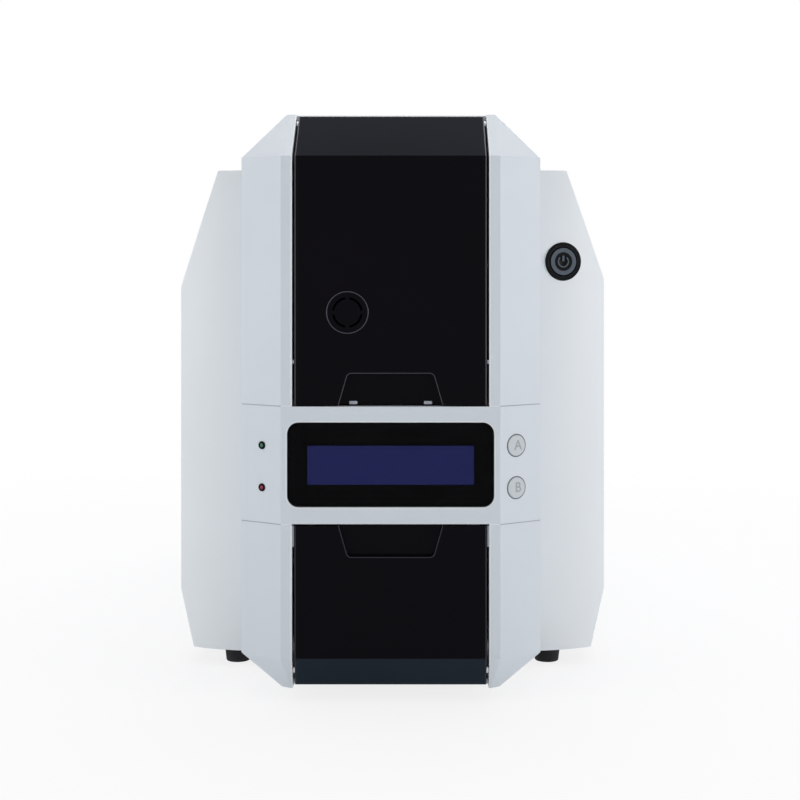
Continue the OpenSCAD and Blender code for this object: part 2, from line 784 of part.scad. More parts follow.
module top_lid() {
    color("#dce0e4") difference() {
        union() {
            difference() {
                intersection() {
                    spine_form();
                    block([-spine_half, lid_front, lid_edge], [spine_half, lid_hinge_y, spine_top]);
                }
                intersection() {
                    spine_form(wall);
                    block([-spine_half, lid_front + wall, 0],
                        [spine_half, lid_hinge_y - lid_knuckle - wall, spine_top]);
                }
            }
            rod_x(lid_axis, lid_knuckle, -lid_knuckle_half, lid_knuckle_half);
            // Two stiffening ribs under the top
            for (x = [-38, 36]) block([x, lid_front + wall - 1, spine_top - wall - 6],
                [x + 2, lid_hinge_y - lid_knuckle - wall + 1, spine_top - wall + 0.5]);
        }
        both_sides() block([lid_knuckle_half, lid_hinge_y - lid_knuckle - groove_gap, lid_edge - 1],
            [ear_out + ear_gap, lid_hinge_y + lid_knuckle, spine_top + 1]);
        block([-spine_half - 1, lid_hinge_y - 1.2, lid_edge - 1],
            [spine_half + 1, lid_hinge_y + eps, lid_axis[1] - lid_knuckle]);
        rod_x(lid_axis, pin_radius + running, -lid_knuckle_half - 1, lid_knuckle_half + 1);
        translate([release_at[0], release_at[1], 0])
            block([-release_size[0] / 2 - running, -release_size[1] / 2 - running, 0],
                [release_size[0] / 2 + running, release_size[1] / 2 + running, spine_top + 1]);
    }
}
module lid_release() {
    color("#9aa1a8") translate([release_at[0], release_at[1], 0]) {
        block([-release_size[0] / 2, -release_size[1] / 2, spine_top - wall - 2],
            [release_size[0] / 2, release_size[1] / 2, spine_top]);
        block([-release_size[0] / 2 - 1.2, -release_size[1] / 2 - 1.2, spine_top - wall - 2],
            [release_size[0] / 2 + 1.2, release_size[1] / 2 + 1.2, spine_top - wall - 0.2]);
        block([-4, -1.5, lid_edge + release_travel + 0.4], [4, 1.5, spine_top - wall - 1.8]);
    }
}
module hinge_pins() {
    color("#b9bec4") {
        rod_x(cover_axis, pin_radius, -pin_half, pin_half);
        rod_x(door_axis, pin_radius, -pin_half, pin_half);
        rod_x(lid_axis, pin_radius, 1 - ear_out, ear_out - 1);
    }
}

// ---- Head, carried by the lid ----

module head_bracket() {
    color("#a9afb5") {
        both_sides() block([head_half - bracket_thick, head_front, head_z + head_height],
            [head_half, head_back + 3, spine_top - wall]);
        block([-head_half, head_front - 6, spine_top - wall - bracket_thick],
            [head_half, head_back + 9, spine_top - wall]);
        block([-head_half, head_front, head_z + head_height],
            [head_half, head_back, head_z + head_height + bracket_thick]);
    }
}
module print_head() {
    middle = (head_front + head_back) / 2;
    color("#3b3f45") union() {
        block([-head_half, head_front, head_z + 2], [head_half, head_back, head_z + head_height]);
        block([-roller_half - 1, middle - 5, head_z + 0.6], [roller_half + 1, middle + 5, head_z + 2.5]);
        intersection() {
            rod_x([middle, head_z + 3], 3, -roller_half, roller_half);
            block([-roller_half, middle - 3, head_z], [roller_half, middle + 3, head_z + 2]);
        }
    }
}
module heat_sink() {
    low = head_z + head_height + bracket_thick;
    color("#8b9096") union() {
        block([-24, head_front + 1, low], [24, head_back - 1, low + 3]);
        for (i = [-6:6])
            block([i * 3.8 - 0.8, head_front + 1, low], [i * 3.8 + 0.8, head_back - 1, low + sink_height]);
    }
}

// ---- Chassis and card path ----

module roller_holes(x0, x1, grow) {
    for (at = [pick_at, exit_at, front_roller_at, platen_at, rear_roller_at, pinch_at, cleaning_at])
        rod_x(at, bush_radius + grow, x0, x1);
}
module chassis_plate() {
    difference() {
        block([chassis_half, plate_front, pan_top], [plate_out, plate_back, plate_top]);
        roller_holes(chassis_half - 1, plate_out + 1, 0);
        rod_x(gate_at, gate_radius + running, chassis_half - 1, plate_out + 1);
        // Lightening windows
        block([chassis_half - 1, plate_back - 46, pan_top + 23.4],
            [plate_out + 1, plate_back - 12, path_z - 21]);
        block([chassis_half - 1, hopper_back + 22, pan_top + 23.4],
            [plate_out + 1, hopper_back + 56, path_z - 35]);
        rod_x([plate_back - 28, spool_z], 14, chassis_half - 1, plate_out + 1);
    }
}
module chassis_left() {
    color("#b4babf") difference() {
        union() {
            mirror([1, 0, 0]) chassis_plate();
            for (y = [board_y[0] + 6, board_y[1] - 6], z = [board_z[0] + 6, board_z[1] - 6])
                rod_x([y, z], stud_radius, board_x, -chassis_half - plate_thick / 2);
        }
        rod_x(motor_at, motor_shaft + 1.5, -plate_out - 1, -chassis_half + 1);
    }
}
module chassis_right() {
    color("#b4babf") difference() {
        chassis_plate();
        rod_x(takeup_at, journal_radius, chassis_half - 1, plate_out + 1);
    }
}
module tie_bars() {
    front_y = hopper_back + 10;
    high = plate_top - 10;
    color("#c3c8cc") for (at = [[front_y, high], [front_y, pan_top + 19.4], [plate_back - 18, pan_top + 13.4],
        [plate_back - 6, high]])
        rod_x(at, 3, -chassis_half, chassis_half);
}
module roller_bushes() {
    color("#c7a25a") for (side = [-1, 1])
        for (at = [pick_at, exit_at, front_roller_at, platen_at, rear_roller_at, pinch_at, cleaning_at])
            difference() {
                rod_x(at, bush_radius, min(side * chassis_half, side * plate_out),
                    max(side * chassis_half, side * plate_out));
                rod_x(at, shaft_radius + running, -shaft_end, shaft_end);
            }
}
module card_hopper() {
    outer = hopper_half + tray_wall;
    color("#2a2c31") difference() {
        union() {
            difference() {
                block([-outer, hopper_front - tray_wall, hopper_floor - tray_wall],
                    [outer, hopper_back + tray_wall, hopper_top]);
                block([-hopper_half, hopper_front, hopper_floor], [hopper_half, hopper_back, hopper_top + 1]);
            }
            // Side wings that hang the hopper between the chassis plates
            both_sides() block([outer - 1, plate_front + 2, hopper_floor + 6],
                [chassis_half, hopper_back - 4, hopper_floor + 9]);
        }
        // Finger opening at the front, and the slot that one card leaves by
        block([-14, hopper_front - tray_wall - 1, hopper_floor + 12], [14, hopper_front + 1, hopper_top + 1]);
        block([-hopper_half, hopper_back - 1, hopper_floor + 1.4],
            [hopper_half, hopper_back + tray_wall + 1, path_z + 1.3]);
        // Window for the pick tyres
        block([-roller_half - 1, pick_at[0] - 8, 0], [roller_half + 1, pick_at[0] + 8, hopper_floor + 1]);
        // Guide slots of the weight
        both_sides() block([hopper_half - 1, weight_y - 4, hopper_floor + 6],
            [outer + 1, weight_y + 4, hopper_top + 1]);
    }
}
module hopper_weight() {
    low = path_z + 0.6;
    color("#55595f") union() {
        block([-hopper_half + 0.8, hopper_front + 5, low],
            [hopper_half - 0.8, hopper_back - 5, low + weight_height]);
        block([-hopper_half - tray_wall, weight_y - 3.5, low + 4],
            [hopper_half + tray_wall, weight_y + 3.5, low + weight_height]);
        block([-8, weight_y - 10, low], [8, weight_y + 8, low + weight_height + 2]);
    }
}
module output_tray() {
    outer = hopper_half + tray_wall;
    low = pan_top + 1.2;
    color("#24262b") union() {
        difference() {
            block([-outer, tray_front, low], [outer, hopper_back + tray_wall, band_bottom - 3]);
            block([-hopper_half, tray_front - 1, low + tray_wall], [hopper_half, hopper_back, band_bottom]);
        }
        block([-hopper_half - 1, tray_front, low], [hopper_half + 1, tray_front + tray_wall, low + 6]);
        for (x = [-20, 18]) {
            block([x, tray_front + 3, spine_base + floor_thick], [x + 2, frame_back - 2, low + 1]);
            block([x, plate_front + 1, pan_top], [x + 2, hopper_back, low + 1]);
        }
        // Side tongues that rest between the chassis plates
        both_sides() block([outer - 1, plate_front + 2, low + 10], [chassis_half, hopper_back, low + 13]);
    }
}
module card_guide() {
    color("#3a3d43") difference() {
        union() {
            block([-chassis_half, guide_front, guide_top - guide_thick], [chassis_half, guide_back, guide_top]);
            both_sides() for (y = [front_roller_at[0] + 15, platen_at[0] + 19, rear_roller_at[0] + 25])
                block([chassis_half - 6, y, guide_top - 8], [chassis_half, y + 8, guide_top]);
        }
        for (at = [front_roller_at, platen_at, rear_roller_at])
            block([-roller_half - 1, at[0] - 8, guide_top - 4], [roller_half + 1, at[0] + 8, guide_top + 1]);
        for (at = [front_roller_at, platen_at, rear_roller_at])
            rod_x(at, shaft_radius + 0.6, -chassis_half - 1, chassis_half + 1);
    }
}
module diverter_gate() {
    color("#6d7278") union() {
        rod_x(gate_at, gate_radius, -plate_out - 0.5, plate_out + 0.5);
        block([-roller_half, gate_at[0], gate_at[1] + 0.6],
            [roller_half, gate_at[0] + gate_reach, gate_at[1] + 2]);
    }
}

// ---- Rollers ----

module shaft(at, left) {
    rod_x(at, shaft_radius, left, plate_out + 1);
}
module driven_roller(at) {
    shaft(at, -shaft_end);
    rod_x(at, roller_radius, -roller_half, roller_half);
    rod_x(at, pulley_radius, belt_x - belt_width / 2, belt_x + belt_width / 2);
}
module pick_shaft() {
    color("#b2b7bc") {
        shaft(pick_at, -shaft_end);
        rod_x(pick_at, pulley_radius, belt_x - belt_width / 2, belt_x + belt_width / 2);
    }
}
module pick_tyres() {
    color("#54342c") for (x = [-22, -4, 14]) difference() {
        rod_x(pick_at, pick_radius, x, x + 8);
        rod_x(pick_at, shaft_radius, x - 1, x + 9);
    }
}
module front_roller() {
    color("#3c4046") driven_roller(front_roller_at);
}
module platen_roller() {
    color("#23252a") driven_roller(platen_at);
}
module rear_roller() {
    color("#3c4046") driven_roller(rear_roller_at);
}
module exit_roller() {
    color("#3c4046") driven_roller(exit_at);
}
module cleaning_roller() {
    color("#4f86b8") {
        shaft(cleaning_at, -plate_out - 1);
        rod_x(cleaning_at, roller_radius, -roller_half, roller_half);
    }
}
module pinch_roller() {
    color("#3c4046") {
        shaft(pinch_at, -plate_out - 1);
        rod_x(pinch_at, pinch_radius, -roller_half, roller_half);
    }
}
module belt_line(grow) {
    hull() {
        for (at = [pick_at, exit_at, front_roller_at, platen_at, rear_roller_at])
            translate(at) circle(pulley_radius + grow);
        translate(motor_at) circle(drive_pulley + grow);
    }
}
module timing_belt() {
    color("#1c1c1f") along_x(belt_x - belt_width / 2 + 0.3, belt_x + belt_width / 2 - 0.3) difference() {
        belt_line(belt_gap + belt_thick);
        belt_line(belt_gap);
    }
}
module main_motor() {
    half = motor_side / 2;
    color("#2e3136") difference() {
        union() {
            translate([-chassis_half, 0, 0]) block([0, motor_at[0] - half, motor_at[1] - half],
                [motor_length, motor_at[0] + half, motor_at[1] + half]);
        }
        rod_x(motor_at, motor_shaft + running, -chassis_half - 1, -chassis_half + 12);
    }
}
module motor_pulley() {
    color("#b2b7bc") union() {
        rod_x(motor_at, motor_shaft, -shaft_end, -chassis_half + 10);
        rod_x(motor_at, drive_pulley, belt_x - belt_width / 2, belt_x + belt_width / 2);
    }
}

// ---- Ribbon ----

module ribbon_cassette() {
    low = spool_z - 8;
    high = spool_z + 14;
    end_front = supply_at[0] - flange_radius - 4;
    end_back = takeup_at[0] + flange_radius + 4;
    color("#2f4f8f") difference() {
        union() {
            both_sides() {
                block([cassette_inner, supply_at[0] - 4, low], [cassette_outer, takeup_at[0] + 4, high]);
                rod_x(supply_at, flange_radius, cassette_inner, cassette_outer);
                rod_x(takeup_at, flange_radius, cassette_inner, cassette_outer);
                for (at = [supply_at, takeup_at])
                    rod_x(at, journal_radius + 2.5, cassette_inner, chassis_half);
            }
            block([-cassette_outer, end_back - 3, low + 4], [cassette_outer, end_back, high - 4]);
            block([-cassette_outer, end_front, low + 4], [cassette_outer, end_front + 3, high - 4]);
            both_sides() {
                block([cassette_inner, takeup_at[0], low + 4], [cassette_outer, end_back, high - 4]);
                block([cassette_inner, end_front, low + 4], [cassette_outer, supply_at[0], high - 4]);
            }
        }
        for (at = [supply_at, takeup_at])
            rod_x(at, journal_radius + running, -chassis_half - 1, chassis_half + 1);
    }
}
module spool(at) {
    rod_x(at, core_radius, -spool_half, spool_half);
    rod_x(at, journal_radius, -chassis_half, chassis_half);
    both_sides() rod_x(at, flange_radius, spool_half, spool_half + spool_flange);
}
module supply_spool() {
    color("#e3e5e8") spool(supply_at);
}
module supply_film() {
    color("#202226") difference() {
        rod_x(supply_at, ribbon_radius, -web_half, web_half);
        rod_x(supply_at, core_radius, -web_half - 1, web_half + 1);
    }
}
module takeup_spool() {
    color("#e3e5e8") union() {
        spool(takeup_at);
        rod_x(takeup_at, wound_radius, -web_half, web_half);
    }
}
module ribbon_web() {
    clear = 0.35;
    low = [web_front, web_z];
    high = [web_back, web_z];
    from = tangent_point(low, supply_at, ribbon_radius + clear, 1);
    to = tangent_point(high, takeup_at, wound_radius + clear, -1);
    n0 = inward(low, from) * web_thick;
    n1 = inward(to, high) * web_thick;
    color("#2a2d33") along_x(-web_half, web_half)
        polygon([from, low, high, to, to - n1, high + [-web_thick / 2, web_thick],
            low + [web_thick / 2, web_thick], from - n0]);
}
module ribbon_motor() {
    color("#2e3136") union() {
        rod_x(takeup_at, 12, plate_out, plate_out + 14);
        rod_x(takeup_at, 5, plate_out + 13, plate_out + 18);
    }
}

// ---- Electronics ----

module main_board() {
    color("#1f6b43") {
        block([board_x - board_thick, board_y[0], board_z[0]], [board_x, board_y[1], board_z[1]]);
        block([board_x - board_thick - 3, board_y[0] + 18, board_z[0] + 30],
            [board_x - board_thick, board_y[0] + 38, board_z[0] + 50]);
        block([board_x - board_thick - 9, board_y[1] - 14, board_z[1] - 54],
            [board_x - board_thick, board_y[1] - 4, board_z[1] - 14]);
        for (z = [board_z[0] + 14, board_z[0] + 28])
            rod_x([board_y[0] + 8, z], 4, board_x - board_thick - 10, board_x - board_thick);
    }
}
module dc_inlet() {
    color("#1b1c20") union() {
        difference() {
            union() {
                rod_y([port_x, inlet_z], 5.45, shell_back - 1, rear);
                block([port_x - 7, shell_back - 14, inlet_z - 6], [port_x + 7, shell_back, inlet_z + 6]);
            }
            rod_y([port_x, inlet_z], 3.2, shell_back - 10, rear + 1);
        }
        rod_y([port_x, inlet_z], 1, shell_back - 11, rear - 1);
    }
}
module data_ports() {
    color("#9ba0a6") {
        difference() {
            block([port_x - 7.95, shell_back - 14, port_z - 6.95], [port_x + 7.95, rear, port_z + 6.95]);
            block([port_x - 6, shell_back - 11, port_z - 5], [port_x + 6, rear + 1, port_z + 4]);
        }
        difference() {
            block([port_x - 5.95, shell_back - 14, port_z + port_pitch - 5.95],
                [port_x + 5.95, rear, port_z + port_pitch + 5.95]);
            difference() {
                block([port_x - 4.2, shell_back - 10, port_z + port_pitch - 3.9],
                    [port_x + 4.2, rear + 1, port_z + port_pitch + 3.9]);
                block([port_x - 2.8, shell_back - 11, port_z + port_pitch - 1.6],
                    [port_x + 2.8, rear - 1, port_z + port_pitch + 1.6]);
            }
        }
    }
}
module fan_frame() {
    half = fan_side / 2;
    color("#1d1e22") union() {
        difference() {
            block([fan_at[0] - half, fan_front, fan_at[1] - half],
                [fan_at[0] + half, shell_back, fan_at[1] + half]);
            rod_y(fan_at, fan_bore, fan_front - 1, shell_back + 1);
            for (x = [-1, 1], z = [-1, 1])
                rod_y(fan_at + [x, z] * (half - 4), 1.6, fan_front - 1, shell_back + 1);
        }
        difference() {
            union() {
                rod_y(fan_at, 9, shell_back - 2, shell_back);
                for (a = [0, 120, 240]) translate([fan_at[0], 0, fan_at[1]]) rotate([0, a, 0])
                    block([0, shell_back - 2, -1.2], [fan_bore + 0.5, shell_back, 1.2]);
            }
            rod_y(fan_at, 1.5 + running, shell_back - 3, shell_back + 1);
        }
    }
}
module fan_rotor() {
    color("#2a2c31") union() {
        rod_y(fan_at, 9, fan_front + 0.5, shell_back - 2.4);
        rod_y(fan_at, 1.5, fan_front + 2, shell_back - 0.3);
        for (a = [0:7]) translate([fan_at[0], (fan_front + shell_back) / 2 - 1.2, fan_at[1]])
            rotate([0, a * 45, 0]) translate([8, 0, 0]) rotate([35, 0, 0]) block([0, -0.6, -3.4], [fan_bore - 8.8, 0.6, 3.4]);
    }
}

left_shell();
right_shell();
upper_front_frame();
control_panel();
lower_front_frame();
rear_top_cover();
rear_panel();
base_pan();
feet();
display_window();
display_module();
green_lamp();
red_lamp();
panel_boards();
switch_body();
hinge_pins();
chassis_left();
chassis_right();
tie_bars();
card_hopper();
output_tray();
card_guide();
ribbon_cassette();
ribbon_web();
main_motor();
timing_belt();
ribbon_motor();
main_board();
dc_inlet();
data_ports();
fan_frame();
roller_bushes();
case_screws();
upper_cover();
lower_door();
top_lid();
lid_release();
head_bracket();
print_head();
heat_sink();
supply_spool();
supply_film();
takeup_spool();
hopper_weight();
diverter_gate();
button_a();
button_b();
power_button();
fan_rotor();
pick_shaft();
pick_tyres();
cleaning_roller();
front_roller();
platen_roller();
rear_roller();
exit_roller();
pinch_roller();
motor_pulley();
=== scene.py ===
import json
import math

import bmesh
import bpy
from mathutils import Matrix, Vector

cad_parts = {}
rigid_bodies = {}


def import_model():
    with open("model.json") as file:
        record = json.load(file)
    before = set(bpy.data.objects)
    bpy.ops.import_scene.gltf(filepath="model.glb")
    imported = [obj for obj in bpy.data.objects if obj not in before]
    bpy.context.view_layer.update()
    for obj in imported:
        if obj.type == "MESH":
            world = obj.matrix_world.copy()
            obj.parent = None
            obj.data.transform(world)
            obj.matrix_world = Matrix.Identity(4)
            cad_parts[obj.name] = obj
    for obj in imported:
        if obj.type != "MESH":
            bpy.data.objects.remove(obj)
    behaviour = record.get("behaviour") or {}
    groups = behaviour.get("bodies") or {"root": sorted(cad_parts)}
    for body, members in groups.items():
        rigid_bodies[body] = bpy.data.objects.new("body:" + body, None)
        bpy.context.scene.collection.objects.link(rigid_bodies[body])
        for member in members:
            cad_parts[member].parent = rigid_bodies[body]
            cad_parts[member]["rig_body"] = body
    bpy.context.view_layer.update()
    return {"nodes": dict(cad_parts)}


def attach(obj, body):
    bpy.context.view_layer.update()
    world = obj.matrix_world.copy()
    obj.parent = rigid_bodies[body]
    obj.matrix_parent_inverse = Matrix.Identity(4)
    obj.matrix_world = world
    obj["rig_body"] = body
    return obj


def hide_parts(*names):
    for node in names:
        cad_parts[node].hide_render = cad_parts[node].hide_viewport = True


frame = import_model()
MM = 0.001

# Sizes of the printer that the finishing pieces follow, in millimetres, and turns in radians
FRONT = -182.5
REAR = 182.5
RIDGE_HALF = 42.4
SPINE_HALF = 58.7
BEVEL_DEPTH = 10.4
LAMP_X, BUTTON_X = 50.1, 48.8
UPPER_MARK, LOWER_MARK = 98.9, 82.5
BEVEL_TURN = math.atan2(BEVEL_DEPTH, SPINE_HALF - RIDGE_HALF)
BOW_RADIUS = 69.3
BOW_X = SPINE_HALF - BOW_RADIUS * math.sin(math.radians(5))
BOW_Y = FRONT + 53.6 + BOW_RADIUS * math.cos(math.radians(5))
SWITCH_X, SWITCH_Z = 72.1, 170.4
SWITCH_TURN = math.asin((SWITCH_X - BOW_X) / BOW_RADIUS)
WINDOW_Z = 91.8
WINDOW_WIDTH, WINDOW_HEIGHT = 79.9, 32.5
COVER_HALF, OPENING_HALF = 37.2, 38.1
UPPER_SEAM_Z, LOWER_SEAM_Z = 114.5, 68.8
SLOPE_START_Z = 188
LOCK_X, LOCK_Z = -16.7, 150.7
BUTTON_FACE = -0.4

# Widths of the dark covers' side and notch edges and of the white edges, cut one by one and coloured as a
# painted highlight, in millimetres
COVER_SIDE_EDGE, NOTCH_EDGE, HIGHLIGHT_EDGE = 0.55, 0.4, 0.45
# The least turn between two faces that makes a sharp edge
SHARP_TURN = math.radians(32)

# ---------------------------------------------------------------- studio


def studio():
    scene = bpy.context.scene
    scene.view_settings.view_transform = "Standard"
    camera_data = bpy.data.cameras.new("photo_camera")
    camera_data.sensor_width = 36
    camera_data.lens = 69.93
    camera_data.shift_x = -0.0125
    camera_data.shift_y = -0.1725
    camera_data.clip_end = 50
    camera = bpy.data.objects.new("photo_camera", camera_data)
    camera.location = (0.0075, -0.7825, 0.1702)
    camera.rotation_euler = (math.radians(90), 0, 0)
    scene.collection.objects.link(camera)
    scene.camera = camera

    world = bpy.data.worlds.new("studio_world")
    scene.world = world
    world.use_nodes = True
    tree = world.node_tree
    tree.nodes.clear()
    out = tree.nodes.new("ShaderNodeOutputWorld")
    shown = tree.nodes.new("ShaderNodeBackground")
    fill = tree.nodes.new("ShaderNodeBackground")
    shown.inputs["Color"].default_value = (1, 1, 1, 1)
    fill.inputs["Color"].default_value = (0.93, 0.96, 1.0, 1)
    fill.inputs["Strength"].default_value = 0.4
    mix = tree.nodes.new("ShaderNodeMixShader")
    tree.links.new(seen_ray(tree), mix.inputs["Fac"])
    tree.links.new(fill.outputs[0], mix.inputs[1])
    tree.links.new(shown.outputs[0], mix.inputs[2])
    tree.links.new(mix.outputs[0], out.inputs["Surface"])

    softbox("left_softbox", (-1.15, -0.55, 0.1), (0.0, -0.05, 0.09), (0.9, 1.1), 7.0, (0.96, 0.985, 1.0))
    softbox("right_softbox", (1.15, -0.64, 0.1), (0.0, -0.05, 0.09), (0.9, 1.1), 8.2, (0.97, 0.985, 1.0))
    softbox("top_softbox", (0.0, 0.1, 1.35), (0.0, 0.0, 0.1), (1.2, 1.2), 6.4, (0.97, 0.985, 1.0))
    softbox("rear_softbox", (0.2, 1.3, 0.8), (0.0, 0.1, 0.1), (1.2, 0.9), 8.0, (0.97, 0.985, 1.0))


def seen_ray(tree):
    """1 for rays that show the background: straight to the camera, mirrored or through glass."""
    path = tree.nodes.new("ShaderNodeLightPath")
    first = tree.nodes.new("ShaderNodeMath")
    first.operation = "ADD"
    second = tree.nodes.new("ShaderNodeMath")
    second.operation = "ADD"
    second.use_clamp = True
    tree.links.new(path.outputs["Is Camera Ray"], first.inputs[0])
    tree.links.new(path.outputs["Is Glossy Ray"], first.inputs[1])
    tree.links.new(first.outputs[0], second.inputs[0])
    tree.links.new(path.outputs["Is Transmission Ray"], second.inputs[1])
    return second.outputs[0]


def softbox(name, place, aim, size, power, tint):
    light = bpy.data.lights.new(name, "AREA")
    light.shape = "RECTANGLE"
    light.size, light.size_y = size
    light.energy = power
    light.color = tint
    lamp = bpy.data.objects.new(name, light)
    lamp.location = place
    lamp.rotation_euler = (Vector(aim) - Vector(place)).to_track_quat("-Z", "Y").to_euler()
    bpy.context.scene.collection.objects.link(lamp)


def floor():
    mesh = bpy.data.meshes.new("studio_floor")
    reach = 12.0
    mesh.from_pydata([(-reach, -reach, 0), (reach, -reach, 0), (reach, reach, 0), (-reach, reach, 0)], [],
                     [(0, 1, 2, 3)])
    obj = bpy.data.objects.new("studio_floor", mesh)
    bpy.context.scene.collection.objects.link(obj)
    mat = bpy.data.materials.new("white_paper_floor")
    mat.use_nodes = True
    tree = mat.node_tree
    tree.nodes.clear()
    out = tree.nodes.new("ShaderNodeOutputMaterial")
    paper = tree.nodes.new("ShaderNodeBsdfDiffuse")
    paper.inputs["Color"].default_value = (0.93, 0.935, 0.94, 1)
    glow = tree.nodes.new("ShaderNodeEmission")
    glow.inputs["Color"].default_value = (1, 1, 1, 1)
    glow.inputs["Strength"].default_value = 1.0
    # Near the printer the paper takes its soft shadow; further out it is plain white
    near = tree.nodes.new("ShaderNodeVectorMath")
    near.operation = "LENGTH"
    tree.links.new(tree.nodes.new("ShaderNodeTexCoord").outputs["Object"], near.inputs[0])
    fade = tree.nodes.new("ShaderNodeMapRange")
    fade.inputs["From Min"].default_value = 0.16
    fade.inputs["From Max"].default_value = 0.62
    fade.inputs["To Min"].default_value = 0.8
    fade.inputs["To Max"].default_value = 1.0
    tree.links.new(near.outputs["Value"], fade.inputs["Value"])
    share = tree.nodes.new("ShaderNodeMath")
    share.operation = "MULTIPLY"
    tree.links.new(fade.outputs["Result"], share.inputs[1])
    mix = tree.nodes.new("ShaderNodeMixShader")
    tree.links.new(seen_ray(tree), share.inputs[0])
    tree.links.new(share.outputs[0], mix.inputs["Fac"])
    tree.links.new(paper.outputs[0], mix.inputs[1])
    tree.links.new(glow.outputs[0], mix.inputs[2])
    tree.links.new(mix.outputs[0], out.inputs["Surface"])
    mesh.materials.append(mat)


# ---------------------------------------------------------------- finishes

GRAIN_DEPTH = 0.06 * MM


def noise(tree, coords, scale, detail=2.0, rough=0.5):
    node = tree.nodes.new("ShaderNodeTexNoise")
    node.inputs["Scale"].default_value = scale
    node.inputs["Detail"].default_value = detail
    node.inputs["Roughness"].default_value = rough
    tree.links.new(coords, node.inputs["Vector"])
    return node.outputs["Fac"]


def spread(tree, value, low, high):
    """Maps the middle of a noise's range, 0.3 to 0.7, to low to high."""
    node = tree.nodes.new("ShaderNodeMapRange")
    node.inputs["From Min"].default_value = 0.3
    node.inputs["From Max"].default_value = 0.7
    node.inputs["To Min"].default_value = low
    node.inputs["To Max"].default_value = high
    tree.links.new(value, node.inputs["Value"])
    return node.outputs["Result"]


def finish(name, colour, rough, grain=3000, bump=0.05, vary=0.04, metal=0.0, specular=0.5, alpha=1.0,
           stretch=None, ior=1.5):
    """A surface finish: a colour that drifts a little, varied roughness, and a fine grain."""
    mat = bpy.data.materials.new(name)
    mat.use_nodes = True
    tree = mat.node_tree
    shader = tree.nodes["Principled BSDF"]
    shader.inputs["Metallic"].default_value = metal
    shader.inputs["Specular IOR Level"].default_value = specular
    shader.inputs["IOR"].default_value = ior
    shader.inputs["Alpha"].default_value = alpha
    place = tree.nodes.new("ShaderNodeTexCoord").outputs["Object"]
    if stretch:
        turn = tree.nodes.new("ShaderNodeMapping")
        turn.inputs["Scale"].default_value = stretch
        tree.links.new(place, turn.inputs["Vector"])
        grain_place = turn.outputs["Vector"]
    else:
        grain_place = place
    wide = noise(tree, place, 22, 3.0)
    fine = noise(tree, grain_place, grain, 2.0)
    mix = tree.nodes.new("ShaderNodeMix")
    mix.data_type = "RGBA"
    low = [max(0.0, c * (1 - vary)) for c in colour]
    high = [min(1.0, c * (1 + vary)) for c in colour]
    mix.inputs["A"].default_value = (*low, 1)
    mix.inputs["B"].default_value = (*high, 1)
    tree.links.new(spread(tree, wide, 0.0, 1.0), mix.inputs["Factor"])
    tree.links.new(mix.outputs["Result"], shader.inputs["Base Color"])
    tree.links.new(spread(tree, noise(tree, place, 140, 4.0), rough * 0.9, min(1.0, rough * 1.1)),
                   shader.inputs["Roughness"])
    height = tree.nodes.new("ShaderNodeBump")
    height.inputs["Strength"].default_value = bump
    height.inputs["Distance"].default_value = GRAIN_DEPTH
    tree.links.new(fine, height.inputs["Height"])
    tree.links.new(height.outputs["Normal"], shader.inputs["Normal"])
    return mat


def linear(r, g, b):
    """A colour read as 0 to 255 screen values, as the linear values that a shader takes."""
    return tuple(((c / 255 + 0.055) / 1.055) ** 2.4 if c > 10 else c / 255 / 12.92 for c in (r, g, b))


